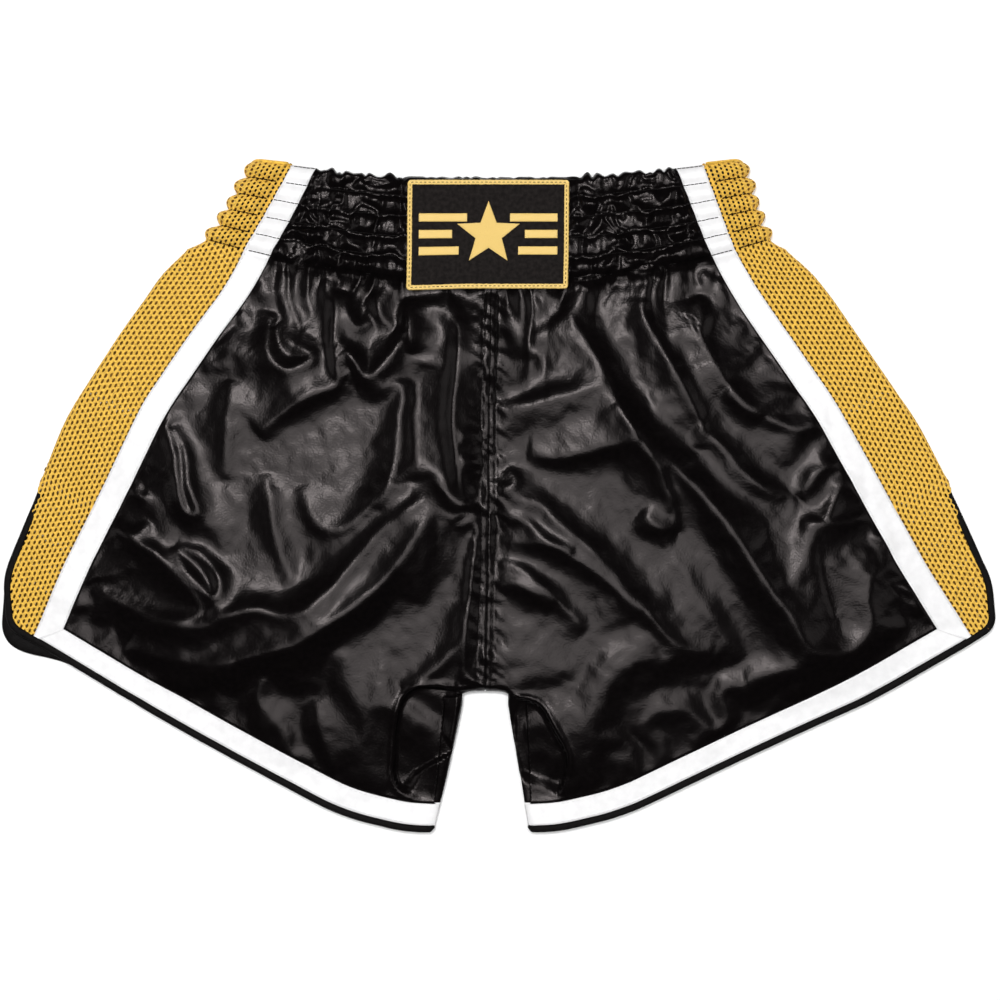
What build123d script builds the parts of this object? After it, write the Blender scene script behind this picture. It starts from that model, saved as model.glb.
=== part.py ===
"""Boxing shorts, laid flat on their back with the front face up.

Frame: X across the garment, +Y towards the waistband, +Z up, z = 0 on the surface that they
lie on. The origin is the middle of the garment's box, at its base. Left is -X. Millimetres.
The garment is one flattened tube of cloth with a gap between its two legs. Each piece is a
region of the plan, cut out of the shell between two depths below the tube's outer face.
"""
import math
import os

from build123d import *

# Loft: how high the front lies above the floor, and how round the folded edges are.
LOFT = 18.0
FOLD_RADIUS = 8.6

# Depths below the outer face of the tube.
OUTER = 0.0
CLOTH_DEPTH = 1.2
BINDING_DEPTH = 2.0
ELASTIC_DEPTH = 2.4
FACING_DEPTH = 3.0

# Waistband: bowed, with its ends nearer the head than its middle. Its elastics lie one per
# channel between its top edge and its lowest stitch row.
WAIST_TOP_Y = 190.5
WAIST_HEIGHT = 62.0
WAIST_TOP_HALF, WAIST_TOP_RISE = 149.0, 11.1
WAIST_LOW_HALF, WAIST_LOW_RISE = 168.0, 25.0
CHANNELS = 5
CHANNEL_SEAM = 0.16
FACING_INSET = 0.02

# Outlines below are the right half's corners, each (x, y, radius of its rounding).
# Side fold: down past the waistband and hips to the side slit, then away past the flaps.
SIDE_FOLD = [(137, 228, 0), (168, 156, 30), (196, 137, 60), (257, 46, 150), (276, 4, 60), (345, -70, 30)]
# Leg opening's edge: down the slit, round the outer corner and along the hem.
SLIT_TOP = (274, 4)
LEG_EDGE = [(297, -50, 45), (297, -79, 13), (222, -123, 500), (85, -192, 150), (45, -201.5, 100)]
# Side seam, between the side ribbon and the mesh.
SIDE_SEAM = [(108, 236, 0), (158, 128, 200), (207, 57, 200), (306, -130, 0)]

# Gap between the legs, and how far inside its edge the inner leg seam lies on the front.
CROTCH_Y = -120.0
GAP_HALF = 12.5
GAP_SLOPE = 0.2
CROTCH_RADIUS = 9.0
INSEAM_INSET = 7.0

# Ribbons and binding. The mitre runs from the ribbons' inner corner to their outer corner.
BINDING_WIDTH = 4.0
HEM_RIBBON_WIDTH = 13.0
SIDE_RIBBON_WIDTH = 15.0
MITRE = [(240.0, -74.0), (310.0, -94.0)]

# Patch on the middle of the front waistband, with its embroidery.
PATCH_WIDTH = 98.0
PATCH_HEIGHT = 66.0
PATCH_Y = WAIST_TOP_Y - 1.0 - PATCH_HEIGHT / 2
PATCH_CLOTH = 1.0
BORDER_WIDTH = 3.2
BORDER_RISE = 1.7
EMBROIDERY_RISE = 0.6
STAR_RADIUS = 20.0
STAR_WAIST = 0.42
BAR_HEIGHT = 5.0
BAR_PITCH = 10.0
BAR_END = 42.0
BAR_STARTS = (13.0, 22.0, 18.0)

# Room beyond the garment for cutting shapes.
FAR_X = 420.0
FAR_Y = 300.0
SPARE = 5.0


def region(shape):
    """The faces of a cut plan as one region."""
    return Sketch() + shape.faces()


def mirrored(edges):
    """Edges of the right half, with their mirror images across x = 0."""
    return list(edges) + [edge.mirror(Plane.YZ) for edge in edges]


def across(point):
    """A level line from a point to its mirror image."""
    return Line((point[0], point[1]), (-point[0], point[1]))


def waist_line(share, reach):
    """The bowed line at a share of the waistband's height, carried on by reach past its ends."""
    half = WAIST_TOP_HALF + (WAIST_LOW_HALF - WAIST_TOP_HALF) * share
    rise = WAIST_TOP_RISE + (WAIST_LOW_RISE - WAIST_TOP_RISE) * share
    middle = WAIST_TOP_Y - WAIST_HEIGHT * share
    end = (half * reach, middle + rise * reach**2)
    return ThreePointArc(end, (0, middle), (-end[0], end[1]))


def rounded(face, corners):
    """The face with the corners of both its halves rounded, each to its own radius."""
    for x, y, radius in corners:
        if radius:
            here = [v for v in face.vertices() if abs(abs(v.X) - x) < 0.1 and abs(v.Y - y) < 0.1]
            face = fillet(here, radius)
    return face


def run(corners):
    """Straight lines from each corner to the next."""
    points = [(corner[0], corner[1]) for corner in corners]
    return [Line(start, end) for start, end in zip(points, points[1:])]


def tube_outline():
    """Plan of the flattened tube, run on past the waist and hems, with the gap between the legs."""
    foot = (SIDE_FOLD[-1][0], -FAR_Y)
    gap_foot = (GAP_HALF + GAP_SLOPE * (CROTCH_Y + FAR_Y), -FAR_Y)
    gap_top = (GAP_HALF, CROTCH_Y, CROTCH_RADIUS)
    half = run([*SIDE_FOLD, foot, gap_foot, gap_top])
    face = make_face(mirrored(half) + [across(SIDE_FOLD[0]), across(gap_top)])
    return rounded(face, [*SIDE_FOLD, gap_top])


def garment_outline():
    """Plan of the part of the tube that is kept: cut to the waist's edge and the leg openings."""
    top = waist_line(0, reach=2.0)
    end = top @ 0
    half = run([(end.X, end.Y), (FAR_X, end.Y), (FAR_X, SLIT_TOP[1]), SLIT_TOP, *LEG_EDGE])
    face = make_face([top] + mirrored(half) + [across(LEG_EDGE[-1])])
    return rounded(face, LEG_EDGE)


def between_side_seams():
    """Plan of everything between the outer edges of the two side ribbons."""
    foot = (SIDE_SEAM[-1][0], -FAR_Y)
    half = run([*SIDE_SEAM, foot])
    face = make_face(mirrored(half) + [across(SIDE_SEAM[0]), across(foot)])
    return rounded(face, SIDE_SEAM)


def above_mitres():
    """Plan of everything above the lines where the side ribbons meet the hem ribbons."""
    inner, outer = MITRE
    slope = (outer[1] - inner[1]) / (outer[0] - inner[0])
    ridge = (0, inner[1] - slope * inner[0])
    far = (FAR_X, inner[1] + slope * (FAR_X - inner[0]))
    head = (FAR_X, FAR_Y)
    return make_face(mirrored(run([ridge, far, head])) + [across(head)])


def waist_strip(high, low):
    """Plan of the waistband between two shares of its height, past both side folds."""
    upper, lower = waist_line(high, reach=1.25), waist_line(low, reach=1.25)
    return make_face([upper, lower, Line(upper @ 0, lower @ 0), Line(upper @ 1, lower @ 1)])


def tube(depth):
    """The flattened tube, drawn in by depth all round, with its folded edges rounded."""
    face = offset(TUBE, -depth) if depth else TUBE
    body = extrude(Pos(0, 0, depth) * face, LOFT - 2 * depth)
    box = body.bounding_box()
    rims = [
        edge
        for edge in body.edges()
        if min(abs(edge.center().Z - box.min.Z), abs(edge.center().Z - box.max.Z)) < 0.01
        and min(abs(edge.center().Y - box.min.Y), abs(edge.center().Y - box.max.Y)) > 1.0
    ]
    return fillet(rims, FOLD_RADIUS - depth)


def shell(outer, inner):
    """The cloth between two depths of the tube."""
    return tube(outer) - tube(inner)


def prism(outline):
    """A region of the plan as a cutter through the whole height."""
    return extrude(Pos(0, 0, -SPARE) * outline, LOFT + 2 * SPARE)


def side(sign):
    """A cutter that holds one side of the garment, -1 for the left and 1 for the right."""
    return Pos(sign * FAR_X / 2, 0, LOFT / 2) * Box(FAR_X, 2 * FAR_Y, LOFT + 2 * SPARE)


def one_solid(shape):
    """The shape's main solid, without crumbs left by a cut."""
    solids = sorted(shape.solids(), key=lambda solid: solid.volume)
    return solids[-1]


def front_and_back(cloth, outline, name, parts):
    """Cuts one outline out of the cloth as a front and a back piece for each side.

    The back pieces wrap round the inner leg's fold as far as the inner leg seam.
    """
    upper = Pos(0, 0, LOFT) * Box(2 * FAR_X, 2 * FAR_Y, LOFT)
    front_outline = region(outline & offset(TUBE, -INSEAM_INSET))
    all_round = cloth & prism(outline)
    front = cloth & prism(front_outline) & upper
    back = all_round - front
    for word, sign in (("left", -1), ("right", 1)):
        parts[f"{word}_front_{name}"] = one_solid(front & side(sign))
        parts[f"{word}_back_{name}"] = one_solid(back & side(sign))


def star(radius):
    """A five-pointed star, point up."""
    points = []
    for i in range(10):
        reach = radius * (STAR_WAIST if i % 2 else 1.0)
        points.append((reach * math.sin(math.pi * i / 5), reach * math.cos(math.pi * i / 5)))
    return make_face(Polyline(points, close=True))


def patch_parts(parts):
    """The patch: its cloth, an embroidered border around it, and a star between two stacks of bars."""
    place = Pos(0, PATCH_Y, LOFT)
    inner = Rectangle(PATCH_WIDTH - 2 * BORDER_WIDTH, PATCH_HEIGHT - 2 * BORDER_WIDTH)
    ring = Rectangle(PATCH_WIDTH, PATCH_HEIGHT) - inner
    parts["patch_cloth"] = extrude(place * inner, PATCH_CLOTH)
    parts["patch_border"] = extrude(place * ring, BORDER_RISE)
    top = place * Pos(0, 0, PATCH_CLOTH)
    parts["patch_star"] = extrude(top * star(STAR_RADIUS), EMBROIDERY_RISE)
    for word, sign in (("left", -1), ("right", 1)):
        for i, start in enumerate(BAR_STARTS):
            bar = Pos(sign * (start + BAR_END) / 2, BAR_PITCH * (1 - i)) * Rectangle(BAR_END - start, BAR_HEIGHT)
            parts[f"patch_{word}_bar_{i + 1}"] = extrude(top * bar, EMBROIDERY_RISE)


TUBE = tube_outline()


def main():
    kept = garment_outline()
    below = Pos(0, SLIT_TOP[1] - FAR_Y) * Rectangle(2 * FAR_X, 2 * FAR_Y)
    ribboned = between_side_seams()
    satin = offset(ribboned, -SIDE_RIBBON_WIDTH)
    edge = (kept - offset(kept, -BINDING_WIDTH)) & below
    hem_band = (kept - offset(kept, -BINDING_WIDTH - HEM_RIBBON_WIDTH)) & below
    above = above_mitres()

    hem_ribbon = region(((hem_band - edge) & ribboned) - above)
    side_ribbon = region(((ribboned - satin - edge) & kept) & above)
    mesh = region(kept - ribboned - edge)
    panel = region(kept - edge - hem_ribbon - side_ribbon - mesh)

    parts = {}
    cloth = shell(OUTER, CLOTH_DEPTH)
    front_and_back(cloth, panel, "panel", parts)
    front_and_back(cloth, side_ribbon, "side_ribbon", parts)
    front_and_back(cloth, hem_ribbon, "hem_ribbon", parts)
    side_cloth = cloth & prism(mesh)
    bound = shell(OUTER, BINDING_DEPTH) & prism(edge)
    for word, sign in (("left", -1), ("right", 1)):
        parts[f"{word}_side_mesh"] = one_solid(side_cloth & side(sign))
        parts[f"{word}_leg_binding"] = one_solid(bound & side(sign))

    lining = shell(ELASTIC_DEPTH, FACING_DEPTH)
    parts["waistband_facing"] = one_solid(lining & prism(waist_strip(FACING_INSET, 1)))
    padding = shell(CLOTH_DEPTH, ELASTIC_DEPTH)
    for i in range(CHANNELS):
        strip = waist_strip((i + CHANNEL_SEAM) / CHANNELS, (i + 1 - CHANNEL_SEAM) / CHANNELS)
        parts[f"waist_elastic_{i + 1}"] = one_solid(padding & prism(strip))
    patch_parts(parts)

    os.makedirs("parts", exist_ok=True)
    for name, shape in parts.items():
        export_step(shape, f"parts/{name}.step")
        box = shape.bounding_box()
        print(name, len(shape.solids()), round(shape.volume), shape.is_valid, box.min, box.max)


if __name__ == "__main__":
    main()
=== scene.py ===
"""Looks of the boxing shorts: cloth, ribbons, mesh, binding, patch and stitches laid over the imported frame.

Plan outlines are read from the CAD nodes in millimetres, x across and y towards the waist. Each layer
is a height over that plan. "Rest" plan is the CAD's own, which is symmetric; the "lain" plan is where
the same point lies once the garment leans a little towards -X, as shorts do when they are put down.
"""

import math

import bmesh
import bpy
import numpy as np
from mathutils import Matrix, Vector


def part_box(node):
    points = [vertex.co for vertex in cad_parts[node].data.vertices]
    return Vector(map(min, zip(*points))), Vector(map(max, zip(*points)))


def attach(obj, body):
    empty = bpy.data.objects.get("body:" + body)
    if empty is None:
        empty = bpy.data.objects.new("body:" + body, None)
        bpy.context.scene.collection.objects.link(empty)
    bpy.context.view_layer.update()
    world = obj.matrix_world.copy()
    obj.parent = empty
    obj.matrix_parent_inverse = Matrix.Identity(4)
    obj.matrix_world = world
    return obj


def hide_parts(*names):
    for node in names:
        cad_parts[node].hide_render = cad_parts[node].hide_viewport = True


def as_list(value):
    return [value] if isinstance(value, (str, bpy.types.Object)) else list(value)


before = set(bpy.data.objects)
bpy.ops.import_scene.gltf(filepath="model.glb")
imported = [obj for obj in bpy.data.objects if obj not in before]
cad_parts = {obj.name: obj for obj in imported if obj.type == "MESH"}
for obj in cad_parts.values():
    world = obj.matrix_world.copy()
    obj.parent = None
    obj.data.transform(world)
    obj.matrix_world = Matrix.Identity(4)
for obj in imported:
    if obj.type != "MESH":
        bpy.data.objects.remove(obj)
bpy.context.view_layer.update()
MM = 0.001
SIDES = (("left", -1), ("right", 1))

# Heights of the layers above the floor.
BAND_LOFT = 15.5
BODY_LOFT = 13.5
HEM_LOFT = 8.0
FOLD_MID = 6.0
BACK_LOFT = 1.4
# Reach of the inner leg's rounded fold, and the drop where the loose front cloth ends over the inner leg.
INNER_LEG_ROUND = 4.5
LEDGE_DROP = 4.5
# Cloth, and how much wider the left binding spreads at its corner.
SATIN_THICK = 0.45
RIBBON_THICK = 0.6
MESH_THICK = 1.1
BINDING_THICK = 1.9
BINDING_WIDTH = 4.2
CORNER_SPREAD = 5.0
# Waistband: its sewn channels, and how far the satin and the mesh puff out and pucker in them.
CHANNELS = 5
PUFF = 1.9
PUCKER = 1.3
MESH_PUFF = 3.8
# Mesh holes: spacing along a column, spacing of columns, the hole's half length and half width, how
# much fuller the cloth is in the waistband, and how deep the cloth dishes into a hole.
HOLE_PITCH = 3.7
HOLE_COLUMN = 2.7
HOLE_LONG = 1.32
HOLE_WIDE = 0.64
MESH_GATHER = 1.3
HOLE_DISH = 0.25
# Width of the centre seam's folded strip.
SEAM_WIDTH = 7.6
# Stitches: length, gap and half the thread's thickness.
PATCH_STITCH = (1.5, 1.1, 0.2)
BAND_STITCH = (2.4, 0.15, 0.26)
MESH_STITCH = (2.4, 0.15, 0.38)
SEAM_STITCH = (2.2, 1.1, 0.2)
RIBBON_STITCH = (2.4, 0.8, 0.13)
# The inner leg seam's distance from the leg's fold: it runs down towards the fold.
INSEAM_INSET = 7.0
INSEAM_SLOPE = 0.13
INSEAM_MIDDLE = -150.0

patch_low, patch_high = (np.array(v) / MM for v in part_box("patch_border"))
PATCH_MIDDLE = (patch_low + patch_high)[:2] / 2
PATCH_SIZE = (patch_high - patch_low)[:2]
# The patch lies this far along X from its place, on top of the waistband's puffs.
PATCH_SLIP = -2.4
PATCH_BASE = BAND_LOFT + PUFF + 0.6


# ---------------------------------------------------------------- plan outlines, from the CAD nodes
def node_points(node):
    """A CAD node's points in millimetres, and its edges."""
    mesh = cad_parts[node].data
    points = np.array([v.co for v in mesh.vertices]) / MM
    edges = np.array([e.vertices[:] for e in mesh.edges])
    return points, edges


NODES = {name: node_points(name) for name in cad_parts}


def slice_node(node, axis, at):
    """Lowest and highest plan position of a CAD node on the line where its plan axis equals `at`."""
    points, edges = NODES[node]
    a, b = points[edges[:, 0]], points[edges[:, 1]]
    low, high = a[:, axis] - at, b[:, axis] - at
    hit = (low * high <= 0) & (np.abs(low - high) > 1e-6)
    share = (low[hit] / (low[hit] - high[hit]))[:, None]
    found = (a[hit] + share * (b[hit] - a[hit]))[:, 1 - axis]
    return found.min(), found.max()


def curve(node, axis, at, which):
    """A function along one plan axis: the node's edge there, carried on straight past its ends."""
    at = np.asarray(at, float)
    values = np.array([slice_node(node, axis, a)[which] for a in at])
    order = np.argsort(at)
    at, values = at[order], values[order]

    def edge(x):
        x = np.asarray(x, float)
        low = values[0] + (x - at[0]) * (values[1] - values[0]) / (at[1] - at[0])
        high = values[-1] + (x - at[-1]) * (values[-1] - values[-2]) / (at[-1] - at[-2])
        inside = np.interp(x, at, values)
        return np.where(x < at[0], low, np.where(x > at[-1], high, inside))

    return edge


X_AXIS, Y_AXIS = 0, 1
LOW, HIGH = 0, 1
seam_outer = curve("right_front_side_ribbon", Y_AXIS, np.linspace(-79, 192, 90), HIGH)
seam_inner = curve("right_front_side_ribbon", Y_AXIS, np.linspace(-75, 192, 90), LOW)
mesh_edge = curve("right_side_mesh", Y_AXIS, np.linspace(6, 196, 80), HIGH)
gap_edge = curve("right_back_panel", Y_AXIS, np.linspace(-183, -128, 20), LOW)
hem_inner = curve("right_front_hem_ribbon", X_AXIS, np.linspace(36, 258, 90), HIGH)
hem_outer = curve("right_front_hem_ribbon", X_AXIS, np.linspace(36, 274, 90), LOW)
TOP_MIDDLE = slice_node("right_front_panel", X_AXIS, 1.0)[HIGH]
LOW_MIDDLE = slice_node("waistband_facing", X_AXIS, 1.0)[LOW]
mesh_points = NODES["right_side_mesh"][0]
TOP_END = mesh_points[np.argmax(mesh_points[:, 1])]
LOW_BOW = (slice_node("waistband_facing", X_AXIS, 120.0)[LOW] - LOW_MIDDLE) / 120.0**2
TOP_BOW = (TOP_END[1] - TOP_MIDDLE) / TOP_END[0] ** 2
panel_points = NODES["right_back_panel"][0]
CROTCH_Y = panel_points[panel_points[:, 0] < 4.0][:, 1].min()
SLIT_Y = NODES["right_leg_binding"][0][:, 1].max()
# The hem ribbon's upper and lower edges at the inner leg.
FOOT_X = 34.0
FOOT_Y = float(hem_inner(FOOT_X))
SOLE_Y = float(hem_outer(FOOT_X))


def meeting(side_edge, hem_edge, x):
    """Where a side line (x at each y) meets a hem line (y at each x)."""
    for _ in range(40):
        x = float(side_edge(float(hem_edge(x))))
    return np.array([x, float(hem_edge(x))])


CORNER_IN = meeting(seam_inner, hem_inner, 260.0)
CORNER_OUT = meeting(seam_outer, hem_outer, 274.0)


def top_y(x):
    """The waistband's folded top edge."""
    return TOP_MIDDLE + TOP_BOW * np.square(x)


def low_y(x):
    """The waistband's lowest stitch row."""
    return LOW_MIDDLE + LOW_BOW * np.square(x)


def band_share(x, y):
    """0 at the waistband's top edge and 1 at its lowest stitch row."""
    return (top_y(x) - y) / (top_y(x) - low_y(x))


def band_y(x, share):
    """The place at a share of the waistband's height."""
    return top_y(x) - share * (top_y(x) - low_y(x))


def channels(x, y):
    """How many channels down the waistband a plan point is, and whether it is in the waistband."""
    share = band_share(x, y) * CHANNELS
    return share, (share > 0) & (share < CHANNELS)


def channel_puff(share, power):
    """A channel's swell: 0 at its stitch rows and 1 at its middle, rounder as the power falls."""
    return np.clip(np.sin(np.pi * (share - np.floor(share))), 0, 1) ** power


def leg_fold(y):
    """The inner leg's folded edge, carried straight up above the crotch."""
    return gap_edge(np.minimum(y, CROTCH_Y - 6))


def leg_edge_line():
    """The leg opening's outer edge: along the hem from the inner leg, and round the corner to the slit."""
    xs = np.linspace(float(gap_edge(-199.0)), 283.0, 120)
    hem = np.array([[x, slice_node("right_leg_binding", X_AXIS, x)[LOW]] for x in xs])
    ys = np.linspace(-84.0, SLIT_Y - 0.5, 50)
    side = np.array([[slice_node("right_leg_binding", Y_AXIS, y)[HIGH], y] for y in ys])
    return np.vstack([hem, side])


LEG_EDGE = leg_edge_line()


def lengths(points):
    """Each point's distance along the line through them."""
    return np.concatenate([[0], np.cumsum(np.linalg.norm(np.diff(points, axis=0), axis=1))])


def unit(vectors):
    """The same vectors at length 1."""
    return vectors / np.linalg.norm(vectors, axis=1)[:, None]


def read_line(at, length, line):
    """The points at some lengths along a line."""
    return np.stack([np.interp(at, length, line[:, i]) for i in range(line.shape[1])], -1)


def along(points, count):
    """The line through the points, at even steps of its length."""
    points = np.asarray(points, float)
    length = lengths(points)
    return read_line(np.linspace(0, length[-1], count), length, points)


def smooth_line(points, count=60):
    """A Catmull-Rom curve through a few given points, at even steps."""
    p = np.asarray(points, float)
    p = np.vstack([2 * p[0] - p[1], p, 2 * p[-1] - p[-2]])
    out = []
    for i in range(1, len(p) - 2):
        t = np.linspace(0, 1, 14, endpoint=False)[:, None]
        a, b, c, d = p[i - 1 : i + 3]
        square, cube = 2 * a - 5 * b + 4 * c - d, 3 * b - a - 3 * c + d
        out.append(0.5 * (2 * b + (c - a) * t + square * t**2 + cube * t**3))
    out.append(p[-2:-1])
    return along(np.vstack(out), count)


def line_distance(x, y, line):
    """Distance from each point to a line, the share of its length there, and the side (1 left, -1 right)."""
    best = np.full(x.shape, 1e9)
    share = np.zeros(x.shape)
    side = np.ones(x.shape)
    count = len(line) - 1
    for i in range(count):
        a, b = line[i], line[i + 1]
        d = b - a
        t = np.clip(((x - a[0]) * d[0] + (y - a[1]) * d[1]) / (d @ d), 0, 1)
        dx, dy = x - a[0] - t * d[0], y - a[1] - t * d[1]
        dist = np.hypot(dx, dy)
        near = dist < best
        best = np.where(near, dist, best)
        share = np.where(near, (i + t) / count, share)
        side = np.where(near, np.sign(d[0] * dy - d[1] * dx), side)
    return best, share, side


def smoothstep(t):
    """0 below 0, 1 above 1, and a smooth rise between."""
    t = np.clip(t, 0, 1)
    return t * t * (3 - 2 * t)


def hump(distance, width, power=2):
    """1 where the distance is 0, falling away past the width, with a flatter top as the power rises."""
    return np.exp(-((distance / width) ** power))


def fade(distance, rate):
    """1 up to a distance of 0, then falling away."""
    return np.exp(-np.maximum(distance, 0) * rate)


# ---------------------------------------------------------------- how the shorts lie
# Shift towards +X at heights up the garment, at its side edges and along its middle.
LEAN_Y = [-200, -170, -122, -86, -40, 10, 60, 118, 148, 196]
LEAN_EDGE = [-11, -4, 5, 1, -3, -4, -7, -8, -11, -5]
LEAN_MIDDLE = [-12, -10.5, -9.5, -9, -8, -7.5, -7, -6, -5, -5]
# The left side lies drawn in at the waistband, and the crotch drawn up.
WAIST_TUCK = 5.5
CROTCH_RISE = 3.0


def lain(x, y):
    """Where a rest plan point lies."""
    reach = np.clip(np.abs(x) / np.maximum(mesh_edge(np.maximum(y, 6.0)), 1.0), 0, 1) ** 2
    shift = np.interp(y, LEAN_Y, LEAN_EDGE) * reach + np.interp(y, LEAN_Y, LEAN_MIDDLE) * (1 - reach)
    tuck = WAIST_TUCK * smoothstep((-x - 70) / 60) * smoothstep((y - 90) / 80)
    crotch = CROTCH_RISE * np.exp(-((x / 15) ** 4) - ((y - CROTCH_Y) / 12) ** 2)
    return x + shift + tuck, y + crotch


def unlain(x, y):
    """The rest plan point that lies at a lain one."""
    rest = x.copy()
    for _ in range(5):
        rest = rest + x - lain(rest, y)[0]
    return rest


class Raster:
    """A height field over the lain plan, read back smoothly."""

    def __init__(self, low, high, step=1.5):
        self.low = np.array(low, float)
        self.step = step
        columns, rows = ((np.array(high) - self.low) / step).astype(int) + 1
        xs, ys = self.low[0] + step * np.arange(columns), self.low[1] + step * np.arange(rows)
        self.x, self.y = np.meshgrid(xs, ys)
        self.z = np.zeros(self.x.shape)
        self.slip_x = np.zeros(self.x.shape)
        self.slip_y = np.zeros(self.x.shape)

    def read(self, x, y, field="z"):
        """The field's value at lain plan points, by bicubic interpolation."""
        values = getattr(self, field)
        gx, gy = (x - self.low[0]) / self.step, (y - self.low[1]) / self.step
        ix, iy = np.floor(gx).astype(int), np.floor(gy).astype(int)
        wx, wy = cubic(gx - ix), cubic(gy - iy)
        rows, columns = values.shape
        total = np.zeros(np.shape(x))
        for j in range(4):
            jy = np.clip(iy + j - 1, 0, rows - 1)
            for i in range(4):
                jx = np.clip(ix + i - 1, 0, columns - 1)
                total = total + wy[j] * wx[i] * values[jy, jx]
        return total


def cubic(t):
    """Catmull-Rom weights of the four values round a place between the middle two."""
    return (
        0.5 * (-t + 2 * t**2 - t**3),
        0.5 * (2 - 5 * t**2 + 3 * t**3),
        0.5 * (t + 4 * t**2 - 3 * t**3),
        0.5 * (t**3 - t**2),
    )


def hashed(ix, iy, seed):
    """A fixed value from -1 to 1 for each whole-numbered cell: the large odd factors only mix the bits."""
    n = (ix * 374761393 + iy * 668265263 + seed * 974634777) & 0x7FFFFFFF
    n = ((n ^ (n >> 13)) * 1274126177) & 0x7FFFFFFF
    return ((n ^ (n >> 16)) & 0xFFFF) / 32767.5 - 1.0


def noise(x, y, seed=0):
    """Smooth value noise from -1 to 1, one cell per unit. Each use has its own seed."""
    x, y = np.broadcast_arrays(np.asarray(x, float), np.asarray(y, float))
    ix, iy = np.floor(x).astype(np.int64), np.floor(y).astype(np.int64)
    fx, fy = smoothstep(x - ix), smoothstep(y - iy)
    a, b = hashed(ix, iy, seed), hashed(ix + 1, iy, seed)
    c, d = hashed(ix, iy + 1, seed), hashed(ix + 1, iy + 1, seed)
    return (a * (1 - fx) + b * fx) * (1 - fy) + (c * (1 - fx) + d * fx) * fy


def rough(x, y, *layers):
    """Noise of several sizes together, each given as its height, its size and its seed."""
    return sum(height * noise(x / size, y / size, seed) for height, size, seed in layers)


def billow(x, y, seed):
    """Noise with round crests and sharp valleys, from -1 to 1.6."""
    return 2.6 * np.abs(noise(x, y, seed)) - 1.0


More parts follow.
